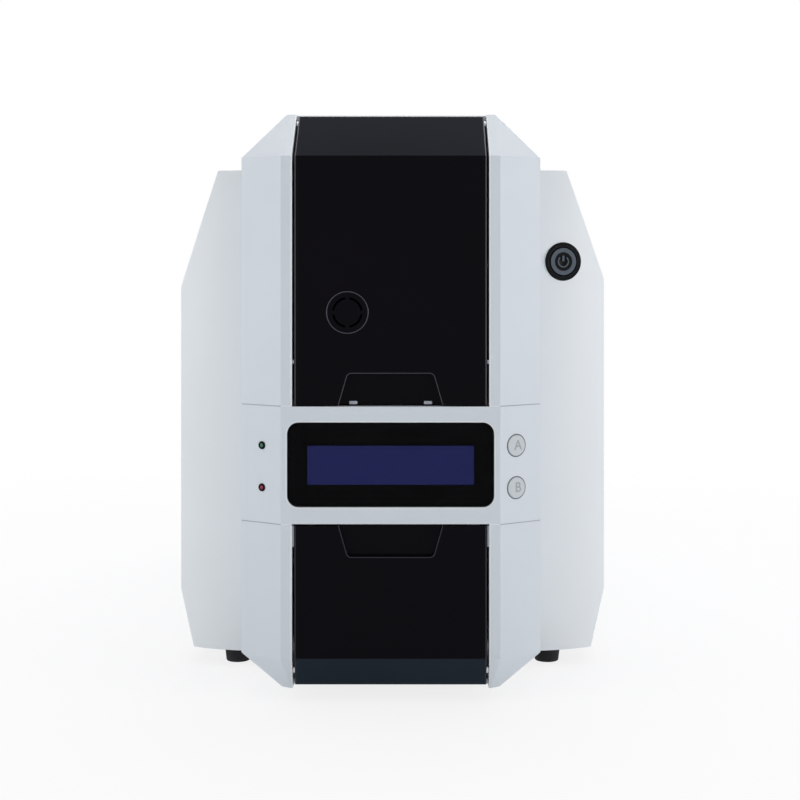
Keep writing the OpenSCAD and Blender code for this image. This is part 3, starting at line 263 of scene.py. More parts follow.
FINISHES = {
    "white_case": finish("moulded_white_plastic", linear(221, 226, 231), 0.42, 3200, 0.10, 0.012),
    # The side shells take the same white plastic made lighter: painted light
    "lit_side_white": finish("white_side_painted_light", linear(237, 239, 241), 0.42, 3200, 0.10, 0.012),
    "gloss_black": finish("gloss_black_cover", linear(6, 4, 10), 0.16, 900, 0.02, 0.10, specular=0.05),
    # The next two: the covers' gloss black made lighter and bluer on the faces that lean up or down, painted
    # reflection
    "slope_reflection": finish("gloss_black_slope_painted_reflection", linear(22, 24, 32), 0.2, 900, 0.02, 0.10, specular=0.05,
                          ior=1.22),
    "kick_reflection": finish("gloss_black_kick_painted_reflection", linear(33, 42, 51), 0.2, 900, 0.02, 0.10, specular=0.05),
    # The next two: the covers' black made lighter on their rounded edges, painted highlight
    "cover_edge": finish("cover_edge_painted_highlight", linear(66, 64, 71), 0.3, 900, 0.03, 0.10, specular=0.2),
    "door_edge": finish("door_edge_painted_highlight", linear(38, 40, 50), 0.3, 900, 0.03, 0.10, specular=0.2),
    # Near-white for chamfers, rims and seam lines: painted highlight
    "white_edge": finish("white_edge_painted_highlight", linear(250, 252, 253), 0.36, 3200, 0.05, 0.01),
    "inner_black": finish("moulded_inner_black", linear(38, 39, 43), 0.5, 1800, 0.2, 0.10),
    "grey_trim": finish("light_grey_key", linear(204, 208, 211), 0.36, 2600, 0.06, 0.012),
    "release_grey": finish("mid_grey_key", linear(150, 156, 163), 0.4, 2600, 0.1, 0.02),
    "rear_plate": finish("powder_coated_plate", linear(150, 155, 161), 0.5, 1300, 0.35, 0.03),
    "zinc_sheet": finish("zinc_plated_sheet", linear(186, 189, 192), 0.34, 500, 0.12, 0.10, metal=1.0),
    "bright_steel": finish("ground_steel", linear(200, 201, 204), 0.22, 2500, 0.2, 0.05, metal=1.0,
                           stretch=(0.05, 1, 1)),
    "rubber_foot": finish("rubber_foot", linear(26, 26, 29), 0.75, 1500, 0.35, 0.12, specular=0.3),
    "platen_rubber": finish("ground_roller_rubber", linear(44, 45, 48), 0.68, 2200, 0.3, 0.08, specular=0.35),
    "pick_rubber": finish("pick_roller_rubber", linear(98, 62, 50), 0.72, 2200, 0.3, 0.10, specular=0.35),
    "tacky_blue": finish("tacky_blue_sleeve", linear(70, 128, 178), 0.3, 1500, 0.1, 0.06),
    "cassette": finish("moulded_cassette_blue", linear(46, 74, 132), 0.4, 1800, 0.15, 0.05),
    "spool_white": finish("moulded_spool_white", linear(214, 215, 217), 0.42, 1800, 0.1, 0.03),
    "film": finish("coated_film", linear(22, 22, 26), 0.18, 600, 0.05, 0.12, specular=0.5,
                   stretch=(0.05, 1, 1)),
    "belt": finish("belt_rubber", linear(30, 30, 32), 0.7, 1800, 0.3, 0.10),
    "board_green": finish("solder_mask_green", linear(28, 92, 58), 0.32, 900, 0.1, 0.10),
    "bronze": finish("sintered_bronze", linear(178, 138, 84), 0.4, 2500, 0.3, 0.08, metal=1.0),
    "port_metal": finish("plated_port_shell", linear(190, 192, 195), 0.28, 1200, 0.08, 0.05, metal=1.0),
    "head_dark": finish("anodised_head", linear(52, 55, 61), 0.36, 1800, 0.15, 0.06, metal=0.6),
    "sink": finish("extruded_aluminium", linear(176, 180, 186), 0.32, 1200, 0.2, 0.06, metal=1.0,
                   stretch=(1, 0.05, 1)),
    "motor_black": finish("motor_enamel", linear(40, 42, 46), 0.42, 1500, 0.15, 0.08),
    "window": finish("smoked_window", linear(10, 10, 12), 0.12, 700, 0.01, 0.05, specular=0.06, alpha=0.4),
    "mask": finish("printed_window_mask", linear(17, 16, 18), 0.6, 900, 0.02, 0.04, specular=0.03),
    "module_frame": finish("blackened_module_frame", linear(30, 30, 33), 0.4, 1400, 0.06, 0.06, metal=0.6),
    "lamp_ring": finish("black_lamp_ring", linear(8, 9, 9), 0.35, 1200, 0.05, 0.1, specular=0.04),
    "gap_grey": finish("button_gap_shadow", linear(112, 118, 124), 0.6, 1200, 0.02, 0.05, specular=0.1),
    "nub_white": finish("moulded_white_nub", linear(178, 182, 192), 0.4, 2600, 0.05, 0.03),
    "ring_dark": finish("switch_mid_ring", linear(42, 45, 53), 0.3, 1500, 0.04, 0.1, specular=0.08),
    # Grey for the strips that fill the seams: painted light in place of the seams' shade
    "seam_painted_light": finish("seam_painted_light_strip", linear(158, 165, 171), 0.5, 2600, 0.05, 0.02),
    # Lighter black for the lock's bead and lip: painted highlight
    "lock_bead": finish("black_bead_painted_highlight", linear(46, 48, 60), 0.16, 1500, 0.02, 0.05, specular=0.5),
    # Black for the lock's groove: painted shade
    "lock_painted_shade": finish("lock_painted_shade_black", linear(1, 1, 1), 0.7, 1500, 0.02, 0.05, specular=0.0),
    "switch_black": finish("switch_black_plastic", linear(9, 10, 12), 0.3, 1500, 0.04, 0.05, specular=0.08),
    "flex": finish("amber_flex_cable", linear(196, 128, 48), 0.3, 700, 0.05, 0.08),
    "power_grey": finish("printed_switch_grey", linear(78, 86, 96), 0.4, 1600, 0.05, 0.06, specular=0.3),
    "letter_grey": finish("printed_letter_grey", linear(163, 168, 172), 0.4, 2000, 0.05, 0.02),
    "gold": finish("gold_contact", linear(212, 170, 92), 0.25, 1500, 0.1, 0.05, metal=1.0),
}


def glowing(name, colour, light, strength, rough=0.25):
    """A lens or display glass that gives off a little light of its own."""
    mat = finish(name, colour, rough, 900, 0.02, 0.08, specular=0.25)
    shader = mat.node_tree.nodes["Principled BSDF"]
    shader.inputs["Emission Color"].default_value = (*light, 1)
    shader.inputs["Emission Strength"].default_value = strength
    return mat


FINISHES["lcd"] = glowing("blue_character_glass", linear(30, 32, 70), (0.024, 0.031, 0.17), 1.0)
FINISHES["lcd_cell"] = glowing("resting_character_cell", linear(30, 33, 72), (0.026, 0.033, 0.182), 1.0)
FINISHES["dyed_film"] = finish("dyed_film", linear(120, 40, 70), 0.2, 600, 0.05, 0.05, specular=0.5,
                               stretch=(0.05, 1, 1))
FINISHES["green_lens"] = glowing("green_lens", linear(52, 96, 80), linear(60, 120, 95), 0.25)
FINISHES["red_lens"] = glowing("red_lens", linear(120, 40, 58), linear(150, 50, 70), 0.25)


FILM_REACH = 50


def dye_panels(mat, stops):
    """Colours the film in panels along y: each stop is a place in millimetres and the colour from there."""
    tree = mat.node_tree
    shader = tree.nodes["Principled BSDF"]
    parts = tree.nodes.new("ShaderNodeSeparateXYZ")
    tree.links.new(tree.nodes.new("ShaderNodeTexCoord").outputs["Object"], parts.inputs[0])
    along = tree.nodes.new("ShaderNodeMapRange")
    along.inputs["From Min"].default_value = -FILM_REACH * MM
    along.inputs["From Max"].default_value = FILM_REACH * MM
    tree.links.new(parts.outputs["Y"], along.inputs["Value"])
    panels = tree.nodes.new("ShaderNodeValToRGB")
    panels.color_ramp.interpolation = "CONSTANT"
    ramp = panels.color_ramp.elements
    ramp[0].position, ramp[0].color = 0.0, (*stops[0][1], 1)
    ramp[1].position, ramp[1].color = (stops[1][0] + FILM_REACH) / (2 * FILM_REACH), (*stops[1][1], 1)
    for place, colour in stops[2:]:
        ramp.new((place + FILM_REACH) / (2 * FILM_REACH)).color = (*colour, 1)
    tree.links.new(along.outputs["Result"], panels.inputs["Fac"])
    tree.links.new(panels.outputs["Color"], shader.inputs["Base Color"])


FILM_BLACK = linear(16, 16, 18)
dye_panels(FINISHES["dyed_film"], ((-FILM_REACH, linear(214, 182, 36)), (-14, FILM_BLACK),
                                   (-11.5, linear(176, 38, 92)), (30, FILM_BLACK),
                                   (32.5, linear(30, 128, 176))))

# Node, its finish and the rounding of its edges in millimetres
DRESS = {
    # left_shell and right_shell take a lighter copy of the white plastic, painted light
    "left_shell": ("lit_side_white", 1.4), "right_shell": ("lit_side_white", 1.4),
    "upper_front_frame": ("white_case", 0.9), "control_panel": ("white_case", 0.5),
    "lower_front_frame": ("white_case", 0.9), "top_lid": ("white_case", 0.9),
    "rear_top_cover": ("white_case", 0.9), "upper_cover": ("gloss_black", 0.2),
    "lower_door": ("gloss_black", 0.2), "rear_panel": ("rear_plate", 0.3),
    "base_pan": ("zinc_sheet", 0.2), "feet": ("rubber_foot", 0.5),
    "display_module": ("module_frame", 0.2), "green_lamp": ("green_lens", 0.1),
    "red_lamp": ("red_lens", 0.1), "panel_boards": ("board_green", 0.1),
    "switch_body": ("switch_black", 0.5), "power_button": ("switch_black", 0.35),
    "button_a": ("grey_trim", 0.45), "button_b": ("grey_trim", 0.45), "hinge_pins": ("bright_steel", 0.2),
    "chassis_left": ("zinc_sheet", 0.25), "chassis_right": ("zinc_sheet", 0.25),
    "tie_bars": ("bright_steel", 0.2), "card_hopper": ("inner_black", 0.4),
    "output_tray": ("inner_black", 0.4), "card_guide": ("inner_black", 0.25),
    "ribbon_cassette": ("cassette", 0.4), "ribbon_web": ("dyed_film", 0.0),
    "main_motor": ("motor_black", 1.2), "timing_belt": ("belt", 0.1),
    "ribbon_motor": ("motor_black", 0.8), "main_board": ("board_green", 0.15),
    "dc_inlet": ("inner_black", 0.25), "data_ports": ("port_metal", 0.25),
    "fan_frame": ("inner_black", 0.4), "roller_bushes": ("bronze", 0.15),
    "case_screws": ("bright_steel", 0.2), "lid_release": ("release_grey", 0.5),
    "head_bracket": ("zinc_sheet", 0.3), "print_head": ("head_dark", 0.4), "heat_sink": ("sink", 0.2),
    "supply_spool": ("spool_white", 0.3), "supply_film": ("film", 0.2),
    "takeup_spool": ("spool_white", 0.3), "hopper_weight": ("inner_black", 0.6),
    "diverter_gate": ("bright_steel", 0.2), "fan_rotor": ("inner_black", 0.3),
    "pick_shaft": ("bright_steel", 0.25), "pick_tyres": ("pick_rubber", 0.5),
    "cleaning_roller": ("tacky_blue", 0.3), "front_roller": ("platen_rubber", 0.3),
    "platen_roller": ("platen_rubber", 0.3), "rear_roller": ("platen_rubber", 0.3),
    "exit_roller": ("platen_rubber", 0.3), "pinch_roller": ("bright_steel", 0.3),
    "motor_pulley": ("bright_steel", 0.3),
}


# White parts whose edges towards the dark covers carry a near-white painted highlight
PAINTED_HIGHLIGHT_PARTS = ("upper_front_frame", "control_panel", "lower_front_frame")
# The two dark covers: finish of the rounded side edges, a lighter black as painted highlight; finish of the
# outer face that leans, a lighter black as painted reflection; and its least lean
DARK_COVER = {
    "upper_cover": ("cover_edge", "slope_reflection", 0.3),
    "lower_door": ("door_edge", "kick_reflection", -0.3),
}


def merged_copy(node, name):
    """The node's own shape as one clean mesh, with its flat faces joined up."""
    source = frame["nodes"][node]
    mesh = source.data.copy()
    obj = bpy.data.objects.new(name, mesh)
    bpy.context.scene.collection.objects.link(obj)
    shape = bmesh.new()
    shape.from_mesh(mesh)
    bmesh.ops.remove_doubles(shape, verts=shape.verts, dist=0.004 * MM)
    bmesh.ops.dissolve_limit(shape, angle_limit=math.radians(0.6), verts=shape.verts, edges=shape.edges,
                             delimit={"NORMAL"})
    for face in shape.faces:
        face.smooth = True
    for edge in shape.edges:
        edge.smooth = not (len(edge.link_faces) == 2 and edge.calc_face_angle(0) > SHARP_TURN)
    shape.to_mesh(mesh)
    shape.free()
    mesh.materials.clear()
    return obj


def faces_front(face):
    return face.normal.y < -0.3


def shape_cover(mesh, node):
    """Rounds a dark cover's long side edges and its finger notch and gives the rounded faces a lighter black,
    a painted highlight; its leaning face gets a lighter black too, a painted reflection.
    """
    edge_highlight_look, lean_reflection_look, lean = DARK_COVER[node]
    mesh.materials.append(FINISHES[edge_highlight_look])
    mesh.materials.append(FINISHES[lean_reflection_look])
    shape = bmesh.new()
    shape.from_mesh(mesh)
    # Front faces that lean take the lighter black: painted reflection
    for face in shape.faces:
        if faces_front(face) and face.normal.z / lean > 1:
            face.material_index = 2
    sides, notch = [], []
    for edge in shape.edges:
        if len(edge.link_faces) != 2:
            continue
        outer = [face for face in edge.link_faces if faces_front(face) and abs(face.normal.x) < 0.1]
        if len(outer) != 1:
            continue
        ends = [corner.co / MM for corner in edge.verts]
        if all(abs(abs(end.x) - COVER_HALF) < 0.05 for end in ends) and edge.calc_length() > 3 * MM:
            sides.append(edge)
        elif all(abs(end.x) < 24 and end.z < 135 and abs(end.y - FRONT) < 0.02 for end in ends):
            notch.append(edge)
    # Both bevels give their faces material 1, the lighter black of the painted highlight
    bmesh.ops.bevel(shape, geom=notch, offset=NOTCH_EDGE * MM, segments=2, profile=0.5, affect="EDGES",
                    clamp_overlap=True, material=1)
    sides = [edge for edge in sides if edge.is_valid]
    bmesh.ops.bevel(shape, geom=sides, offset=COVER_SIDE_EDGE * MM, segments=3, profile=0.5, affect="EDGES",
                    clamp_overlap=False, material=1)
    shape.to_mesh(mesh)
    shape.free()


def paint_opening_highlight(mesh):
    """Chamfers the front edges that face the dark covers, run along the top or ring the window, in a
    near-white painted highlight.
    """
    mesh.materials.append(FINISHES["white_edge"])
    shape = bmesh.new()
    shape.from_mesh(mesh)
    rims = []
    for edge in shape.edges:
        if len(edge.link_faces) != 2 or edge.calc_face_angle(0) < 0.45:
            continue
        if not any(faces_front(face) for face in edge.link_faces):
            continue
        ends = [corner.co / MM for corner in edge.verts]
        run, rise = abs(ends[0].x - ends[1].x), abs(ends[0].z - ends[1].z)
        beside_cover = all(abs(abs(end.x) - OPENING_HALF) < 0.1 for end in ends)
        beside_cover = beside_cover and edge.calc_length() > 3 * MM
        along_top = all(end.z > SLOPE_START_Z and abs(end.x) > 41 for end in ends) and min(run, rise) > 5
        round_window = all(abs(end.y - FRONT) < 0.05 and abs(end.x) < WINDOW_WIDTH / 2 + 1.55
                           and abs(end.z - WINDOW_Z) < WINDOW_HEIGHT / 2 + 1.65 for end in ends)
        if beside_cover or along_top or round_window:
            rims.append(edge)
    bmesh.ops.bevel(shape, geom=rims, offset=HIGHLIGHT_EDGE * MM, segments=2, profile=0.5, affect="EDGES",
                    clamp_overlap=False, material=1)
    shape.to_mesh(mesh)
    shape.free()


def dress(node):
    look, rounding = DRESS[node]
    obj = merged_copy(node, node + "_finish")
    obj.data.materials.append(FINISHES[look])
    if node in DARK_COVER:
        shape_cover(obj.data, node)
    if node in PAINTED_HIGHLIGHT_PARTS:
        paint_opening_highlight(obj.data)
    if rounding > 0:
        bevel = obj.modifiers.new("soft_edges", "BEVEL")
        bevel.width = rounding * MM
        bevel.segments = 3 if rounding >= 0.5 else 2
        bevel.limit_method = "ANGLE"
        bevel.angle_limit = SHARP_TURN
        bevel.use_clamp_overlap = True
        bevel.harden_normals = False
        if node in PAINTED_HIGHLIGHT_PARTS:
            bevel.angle_limit = math.radians(50)
        even = obj.modifiers.new("even_shading", "WEIGHTED_NORMAL")
        even.keep_sharp = node in PAINTED_HIGHLIGHT_PARTS
        even.weight = 80
    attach(obj, frame["nodes"][node]["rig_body"])
    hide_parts(node)


studio()
floor()
for node in DRESS:
    dress(node)

# ---------------------------------------------------------------- printed and raised marks


def place_on_bevel(x, z):
    """Frame of a point on the right bevel: x along it, z up, y inwards."""
    run = (x - RIDGE_HALF) / (SPINE_HALF - RIDGE_HALF)
    point = Vector((x, FRONT + BEVEL_DEPTH * run, z)) * MM
    return Matrix.Translation(point) @ Matrix.Rotation(BEVEL_TURN, 4, "Z")


def place_on_bow():
    """Frame of the power switch: x across it, z up, y inwards."""
    centre = Matrix.Translation(Vector((BOW_X, BOW_Y, SWITCH_Z)) * MM) @ Matrix.Rotation(SWITCH_TURN, 4, "Z")
    return centre @ Matrix.Translation((0, -BOW_RADIUS * MM, 0))


def add_piece(name, mesh, look, body, place=Matrix.Identity(4)):
    mesh.transform(place)
    obj = bpy.data.objects.new(name, mesh)
    bpy.context.scene.collection.objects.link(obj)
    mesh.materials.clear()
    mesh.materials.append(FINISHES[look])
    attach(obj, body)
    return obj


def swept_band(path, width, low, high, closed=False):
    """A flat band of a width along a path of (x, z) points in millimetres, from depth low to high along y."""
    mesh = bpy.data.meshes.new("band")
    shape = bmesh.new()
    count = len(path)
    rows = []
    for i, (x, z) in enumerate(path):
        if closed:
            ahead, behind = path[(i + 1) % count], path[i - 1]
        else:
            ahead, behind = path[min(i + 1, count - 1)], path[max(i - 1, 0)]
        dx, dz = ahead[0] - behind[0], ahead[1] - behind[1]
        length = math.hypot(dx, dz)
        nx, nz = -dz / length * width / 2, dx / length * width / 2
        corners = ((x + nx, low, z + nz), (x - nx, low, z - nz), (x - nx, high, z - nz),
                   (x + nx, high, z + nz))
        rows.append([shape.verts.new(Vector(p) * MM) for p in corners])
    steps = count if closed else count - 1
    for i in range(steps):
        a, b = rows[i], rows[(i + 1) % count]
        for j in range(4):
            k = (j + 1) % 4
            shape.faces.new((a[j], a[k], b[k], b[j]))
    if not closed:
        shape.faces.new(rows[0][::-1])
        shape.faces.new(rows[-1])
    bmesh.ops.recalc_face_normals(shape, faces=shape.faces)
    shape.to_mesh(mesh)
    shape.free()
    return mesh


def arc(radius, start, end, steps, x=0.0, z=0.0):
    """Points of an arc in millimetres; angles in degrees from straight up, clockwise."""
    turns = [math.radians(start + (end - start) * i / steps) for i in range(steps + 1)]
    return [(x + radius * math.sin(t), z + radius * math.cos(t)) for t in turns]


def letter(text, size, raise_by, name, look, body, place):
    curve = bpy.data.curves.new(name, "FONT")
    curve.body = text
    curve.size = size * MM
    curve.extrude = raise_by * MM
    curve.offset = 0.07 * MM
    curve.align_x = "CENTER"
    curve.align_y = "CENTER"
    curve.resolution_u = 6
    flat = bpy.data.objects.new(name + "_curve", curve)
    bpy.context.scene.collection.objects.link(flat)
    bpy.context.view_layer.update()
    mesh = bpy.data.meshes.new_from_object(flat.evaluated_get(bpy.context.evaluated_depsgraph_get()))
    bpy.data.objects.remove(flat)
    mesh.transform(Matrix.Rotation(math.radians(90), 4, "X"))
    shape = bmesh.new()
    shape.from_mesh(mesh)
    bmesh.ops.remove_doubles(shape, verts=shape.verts, dist=0.001 * MM)
    bmesh.ops.recalc_face_normals(shape, faces=shape.faces)
    shape.to_mesh(mesh)
    shape.free()
    return add_piece(name, mesh, look, body, place)


for mark, z, body in (("A", UPPER_MARK, "button_a"), ("B", LOWER_MARK, "button_b")):
    place = place_on_bevel(BUTTON_X, z)
    letter(mark, 5.4, 0.02, "letter_" + mark.lower(), "letter_grey", body,
           place @ Matrix.Translation((0.6 * MM, (BUTTON_FACE - 0.01) * MM, 0)))
    add_piece("button_gap_" + mark.lower(), swept_band(arc(4.29, 0, 354, 59), 0.44, -0.03, 0.3, closed=True),
              "gap_grey", "printer_body", place)

for colour, z in (("green", UPPER_MARK), ("red", LOWER_MARK)):
    place = Matrix.Scale(-1, 4, (1, 0, 0)) @ place_on_bevel(LAMP_X, z)
    add_piece(colour + "_lamp_ring", swept_band(arc(1.13, 0, 350, 35), 0.74, -0.34, 0.1, closed=True),
              "lamp_ring", "printer_body", place)

# Power switch: a ring on the bezel, a near-white rim round the bezel as a painted highlight, a grey ring on
# the cap and the standard symbol inside it
on_switch = place_on_bow()
add_piece("bezel_mid_ring", swept_band(arc(6.6, 0, 355, 71), 0.42, -0.4, -0.28, closed=True),
          "ring_dark", "printer_body", on_switch)
add_piece("bezel_white_rim", swept_band(arc(8.0, 0, 355, 71), 0.42, -0.1, 0.6, closed=True),
          "white_edge", "printer_body", on_switch)
add_piece("switch_grey_ring", swept_band(arc(4.82, 0, 354, 59), 1.75, -0.64, -0.3, closed=True),
          "power_grey", "power_button", on_switch)
add_piece("power_symbol_ring", swept_band(arc(2.5, 42, 318, 40), 0.95, -0.5, 0.3), "power_grey",
          "power_button", on_switch)
add_piece("power_symbol_bar", swept_band([(0, 0.1), (0, 1.7), (0, 3.4)], 0.9, -0.5, 0.3), "power_grey",
          "power_button", on_switch)


# ---------------------------------------------------------------- display


def rounded_plate(width, height, corner, low, high, centre_z):
    mesh = bpy.data.meshes.new("plate")
    shape = bmesh.new()
    outline = []
    for sx, sz, start in ((1, 1, 0), (1, -1, 90), (-1, -1, 180), (-1, 1, 270)):
        cx, cz = sx * (width / 2 - corner), centre_z + sz * (height / 2 - corner)
        outline += arc(corner, start, start + 90, 6, cx, cz) if corner > 0 else [(cx, cz)]
    near = [shape.verts.new(Vector((x, low, z)) * MM) for x, z in outline]
    far = [shape.verts.new(Vector((x, high, z)) * MM) for x, z in outline]
    shape.faces.new(near)
    shape.faces.new(far[::-1])
    for i in range(len(near)):
        k = (i + 1) % len(near)
        shape.faces.new((near[k], near[i], far[i], far[k]))
    bmesh.ops.recalc_face_normals(shape, faces=shape.faces)
    shape.to_mesh(mesh)
    shape.free()
    return mesh


LCD_Z = 91.45
LCD_WIDTH, LCD_HEIGHT = 64.5, 15.1


def window_pane():
    """The smoked window, thinned at the back so that its print and the glass lie in front of the panel."""
    pane = merged_copy("display_window", "window_pane")
    for corner in pane.data.vertices:
        if corner.co.y > (FRONT + 1.4) * MM:
            corner.co.y = (FRONT + 1.8) * MM
    pane.data.materials.append(FINISHES["window"])
    edge = pane.modifiers.new("soft_edges", "BEVEL")
    edge.width = 0.3 * MM
    edge.segments = 2
    edge.limit_method = "ANGLE"
    edge.angle_limit = SHARP_TURN
    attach(pane, "printer_body")
    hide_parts("display_window")


def window_mask():
    """The black print behind the window: a rounded plate with an opening for the glass."""
    mesh = rounded_plate(WINDOW_WIDTH, WINDOW_HEIGHT, 4.2, FRONT + 1.83, FRONT + 1.95, WINDOW_Z)
    opening = rounded_plate(LCD_WIDTH, LCD_HEIGHT, 0.2, FRONT + 1, FRONT + 3, LCD_Z)
    cutter = bpy.data.objects.new("glass_cut", opening)
    plate = bpy.data.objects.new("mask_cut", mesh)
    for obj in (plate, cutter):
        bpy.context.scene.collection.objects.link(obj)
    cut = plate.modifiers.new("opening", "BOOLEAN")
    cut.object = cutter
    cut.solver = "EXACT"
    bpy.context.view_layer.update()
    result = bpy.data.meshes.new_from_object(plate.evaluated_get(bpy.context.evaluated_depsgraph_get()))
    bpy.data.objects.remove(plate)
    bpy.data.objects.remove(cutter)
    return result


window_pane()
add_piece("window_mask", window_mask(), "mask", "printer_body")
glass = rounded_plate(LCD_WIDTH + 0.6, LCD_HEIGHT + 0.6, 0.3, FRONT + 1.965, FRONT + 1.99, LCD_Z)
add_piece("display_glass", glass, "lcd", "printer_body")

# ---------------------------------------------------------------- repeated small parts


def tree_with_inputs(name, sizes):
    """An empty geometry tree with a mesh output and the given named inputs."""
    tree = bpy.data.node_groups.new(name, "GeometryNodeTree")
    tree.interface.new_socket("Geometry", in_out="OUTPUT", socket_type="NodeSocketGeometry")
    for label, kind in sizes:
        tree.interface.new_socket(label, in_out="INPUT", socket_type=kind)
    return tree, tree.nodes.new("NodeGroupInput"), tree.nodes.new("NodeGroupOutput")


def block_rows():
    """Rows and columns of equal blocks, starting at the origin."""
    tree, given, out = tree_with_inputs("block_rows", (
        ("Columns", "NodeSocketInt"), ("Rows", "NodeSocketInt"), ("Column step", "NodeSocketVector"),
        ("Row step", "NodeSocketVector"), ("Block", "NodeSocketVector"), ("Finish", "NodeSocketMaterial")))
    block = tree.nodes.new("GeometryNodeMeshCube")
    tree.links.new(given.outputs["Block"], block.inputs["Size"])
    shape = block.outputs["Mesh"]
    for count, step in (("Columns", "Column step"), ("Rows", "Row step")):
        line = tree.nodes.new("GeometryNodeMeshLine")
        tree.links.new(given.outputs[count], line.inputs["Count"])
        tree.links.new(given.outputs[step], line.inputs["Offset"])
        put = tree.nodes.new("GeometryNodeInstanceOnPoints")
        tree.links.new(line.outputs["Mesh"], put.inputs["Points"])
        tree.links.new(shape, put.inputs["Instance"])
        shape = put.outputs["Instances"]
    close_tree(tree, given, out, shape)
    return tree


def block_ring():
    """Equal blocks round the z axis, each turned to face outwards."""
    tree, given, out = tree_with_inputs("block_ring", (
        ("Count", "NodeSocketInt"), ("Radius", "NodeSocketFloat"), ("Block", "NodeSocketVector"),
        ("Finish", "NodeSocketMaterial")))
    block = tree.nodes.new("GeometryNodeMeshCube")
    circle = tree.nodes.new("GeometryNodeMeshCircle")
    put = tree.nodes.new("GeometryNodeInstanceOnPoints")
    turn = tree.nodes.new("ShaderNodeMath")
    turn.operation = "MULTIPLY"
    share = tree.nodes.new("ShaderNodeMath")
    share.operation = "DIVIDE"
    share.inputs[0].default_value = 2 * math.pi
    axis = tree.nodes.new("ShaderNodeCombineXYZ")
    facing = tree.nodes.new("FunctionNodeEulerToRotation")
    tree.links.new(given.outputs["Block"], block.inputs["Size"])
    tree.links.new(given.outputs["Count"], circle.inputs["Vertices"])
    tree.links.new(given.outputs["Radius"], circle.inputs["Radius"])
    tree.links.new(given.outputs["Count"], share.inputs[1])
    tree.links.new(tree.nodes.new("GeometryNodeInputIndex").outputs["Index"], turn.inputs[0])
    tree.links.new(share.outputs[0], turn.inputs[1])
    tree.links.new(turn.outputs[0], axis.inputs["Z"])
    tree.links.new(axis.outputs[0], facing.inputs["Euler"])
    tree.links.new(circle.outputs["Mesh"], put.inputs["Points"])
    tree.links.new(block.outputs["Mesh"], put.inputs["Instance"])
    tree.links.new(facing.outputs["Rotation"], put.inputs["Rotation"])
    close_tree(tree, given, out, put.outputs["Instances"])
    return tree


def close_tree(tree, given, out, shape):
    real = tree.nodes.new("GeometryNodeRealizeInstances")
    paint = tree.nodes.new("GeometryNodeSetMaterial")
    tree.links.new(shape, real.inputs["Geometry"])
    tree.links.new(real.outputs["Geometry"], paint.inputs["Geometry"])
    tree.links.new(given.outputs["Finish"], paint.inputs["Material"])
    tree.links.new(paint.outputs["Geometry"], out.inputs["Geometry"])


BLOCK_ROWS, BLOCK_RING = block_rows(), block_ring()


def repeated(name, tree, values, look, body, place, rounding=0.0):
    """Makes a tree's result one plain mesh and puts it in place. Sizes in millimetres."""
    maker = bpy.data.objects.new(name + "_maker", bpy.data.meshes.new(name + "_maker"))
    bpy.context.scene.collection.objects.link(maker)
    rows = maker.modifiers.new("rows", "NODES")
    rows.node_group = tree
    for socket in tree.interface.items_tree:
        if socket.in_out != "INPUT":
            continue
        value = FINISHES[look] if socket.name == "Finish" else values[socket.name]
        if isinstance(value, tuple):
            value = [v * MM for v in value]
        elif isinstance(value, float):
            value *= MM
        rows[socket.identifier] = value
    bpy.context.view_layer.update()
    mesh = bpy.data.meshes.new_from_object(maker.evaluated_get(bpy.context.evaluated_depsgraph_get()))
    bpy.data.objects.remove(maker)
    piece = add_piece(name, mesh, look, body, place)
    if rounding > 0:
        edge = piece.modifiers.new("soft_edges", "BEVEL")
        edge.width = rounding * MM
        edge.segments = 2
    return piece


def shift(x, y, z):
    return Matrix.Translation(Vector((x, y, z)) * MM)


AXIS_TO_X = Matrix.Rotation(math.radians(90), 4, "Y")

# The two lines of sixteen resting characters
CELL_STEP, LINE_STEP = 3.55, 6.0
repeated("character_cells", BLOCK_ROWS,
         {"Columns": 16, "Rows": 2, "Column step": (CELL_STEP, 0, 0), "Row step": (0, 0, LINE_STEP),
          "Block": (2.95, 0.006, 5.5)}, "lcd_cell", "printer_body",
         shift(-7.5 * CELL_STEP, FRONT + 1.958, LCD_Z - LINE_STEP / 2))

# Sprung contacts in the roof of the data socket, and on the tongue of the square one
PORT_X, PORT_Z, PORT_PITCH = -68.0, 72.0, 22.0
repeated("data_contacts", BLOCK_ROWS,
         {"Columns": 8, "Rows": 1, "Column step": (1.02, 0, 0), "Row step": (0, 0, 1.0),
          "Block": (0.45, 8.0, 0.35)}, "gold", "printer_body",
         shift(PORT_X - 3.57, REAR - 8, PORT_Z + 3.8) @ Matrix.Rotation(-0.05, 4, "X"), 0.08)
repeated("tongue_contacts", BLOCK_ROWS,
         {"Columns": 2, "Rows": 2, "Column step": (2.5, 0, 0), "Row step": (0, 0, 3.3),
          "Block": (0.9, 5.0, 0.12)}, "gold", "printer_body",
         shift(PORT_X - 1.25, REAR - 5, PORT_Z + PORT_PITCH - 1.65), 0.03)

# Ribs round the three pick tyres
PICK_Y, PICK_Z = -103.0, 110.2
for count, x in enumerate((-18.0, 0.0, 18.0)):
    repeated("tyre_ribs_%d" % count, BLOCK_RING, {"Count": 44, "Radius": 8.97, "Block": (0.14, 0.5, 7.4)},
             "pick_rubber", "pick_roller", shift(x, PICK_Y, PICK_Z) @ AXIS_TO_X, 0.04)

# Moulded ribs on the stack weight's top, where a finger rests
repeated("weight_grip_ribs", BLOCK_ROWS,
         {"Columns": 1, "Rows": 7, "Column step": (1.0, 0, 0), "Row step": (0, 2.4, 0),
          "Block": (13.0, 1.1, 0.5)}, "inner_black", "hopper_weight", shift(0, -137.7, 130.75), 0.2)

# ---------------------------------------------------------------- small single parts


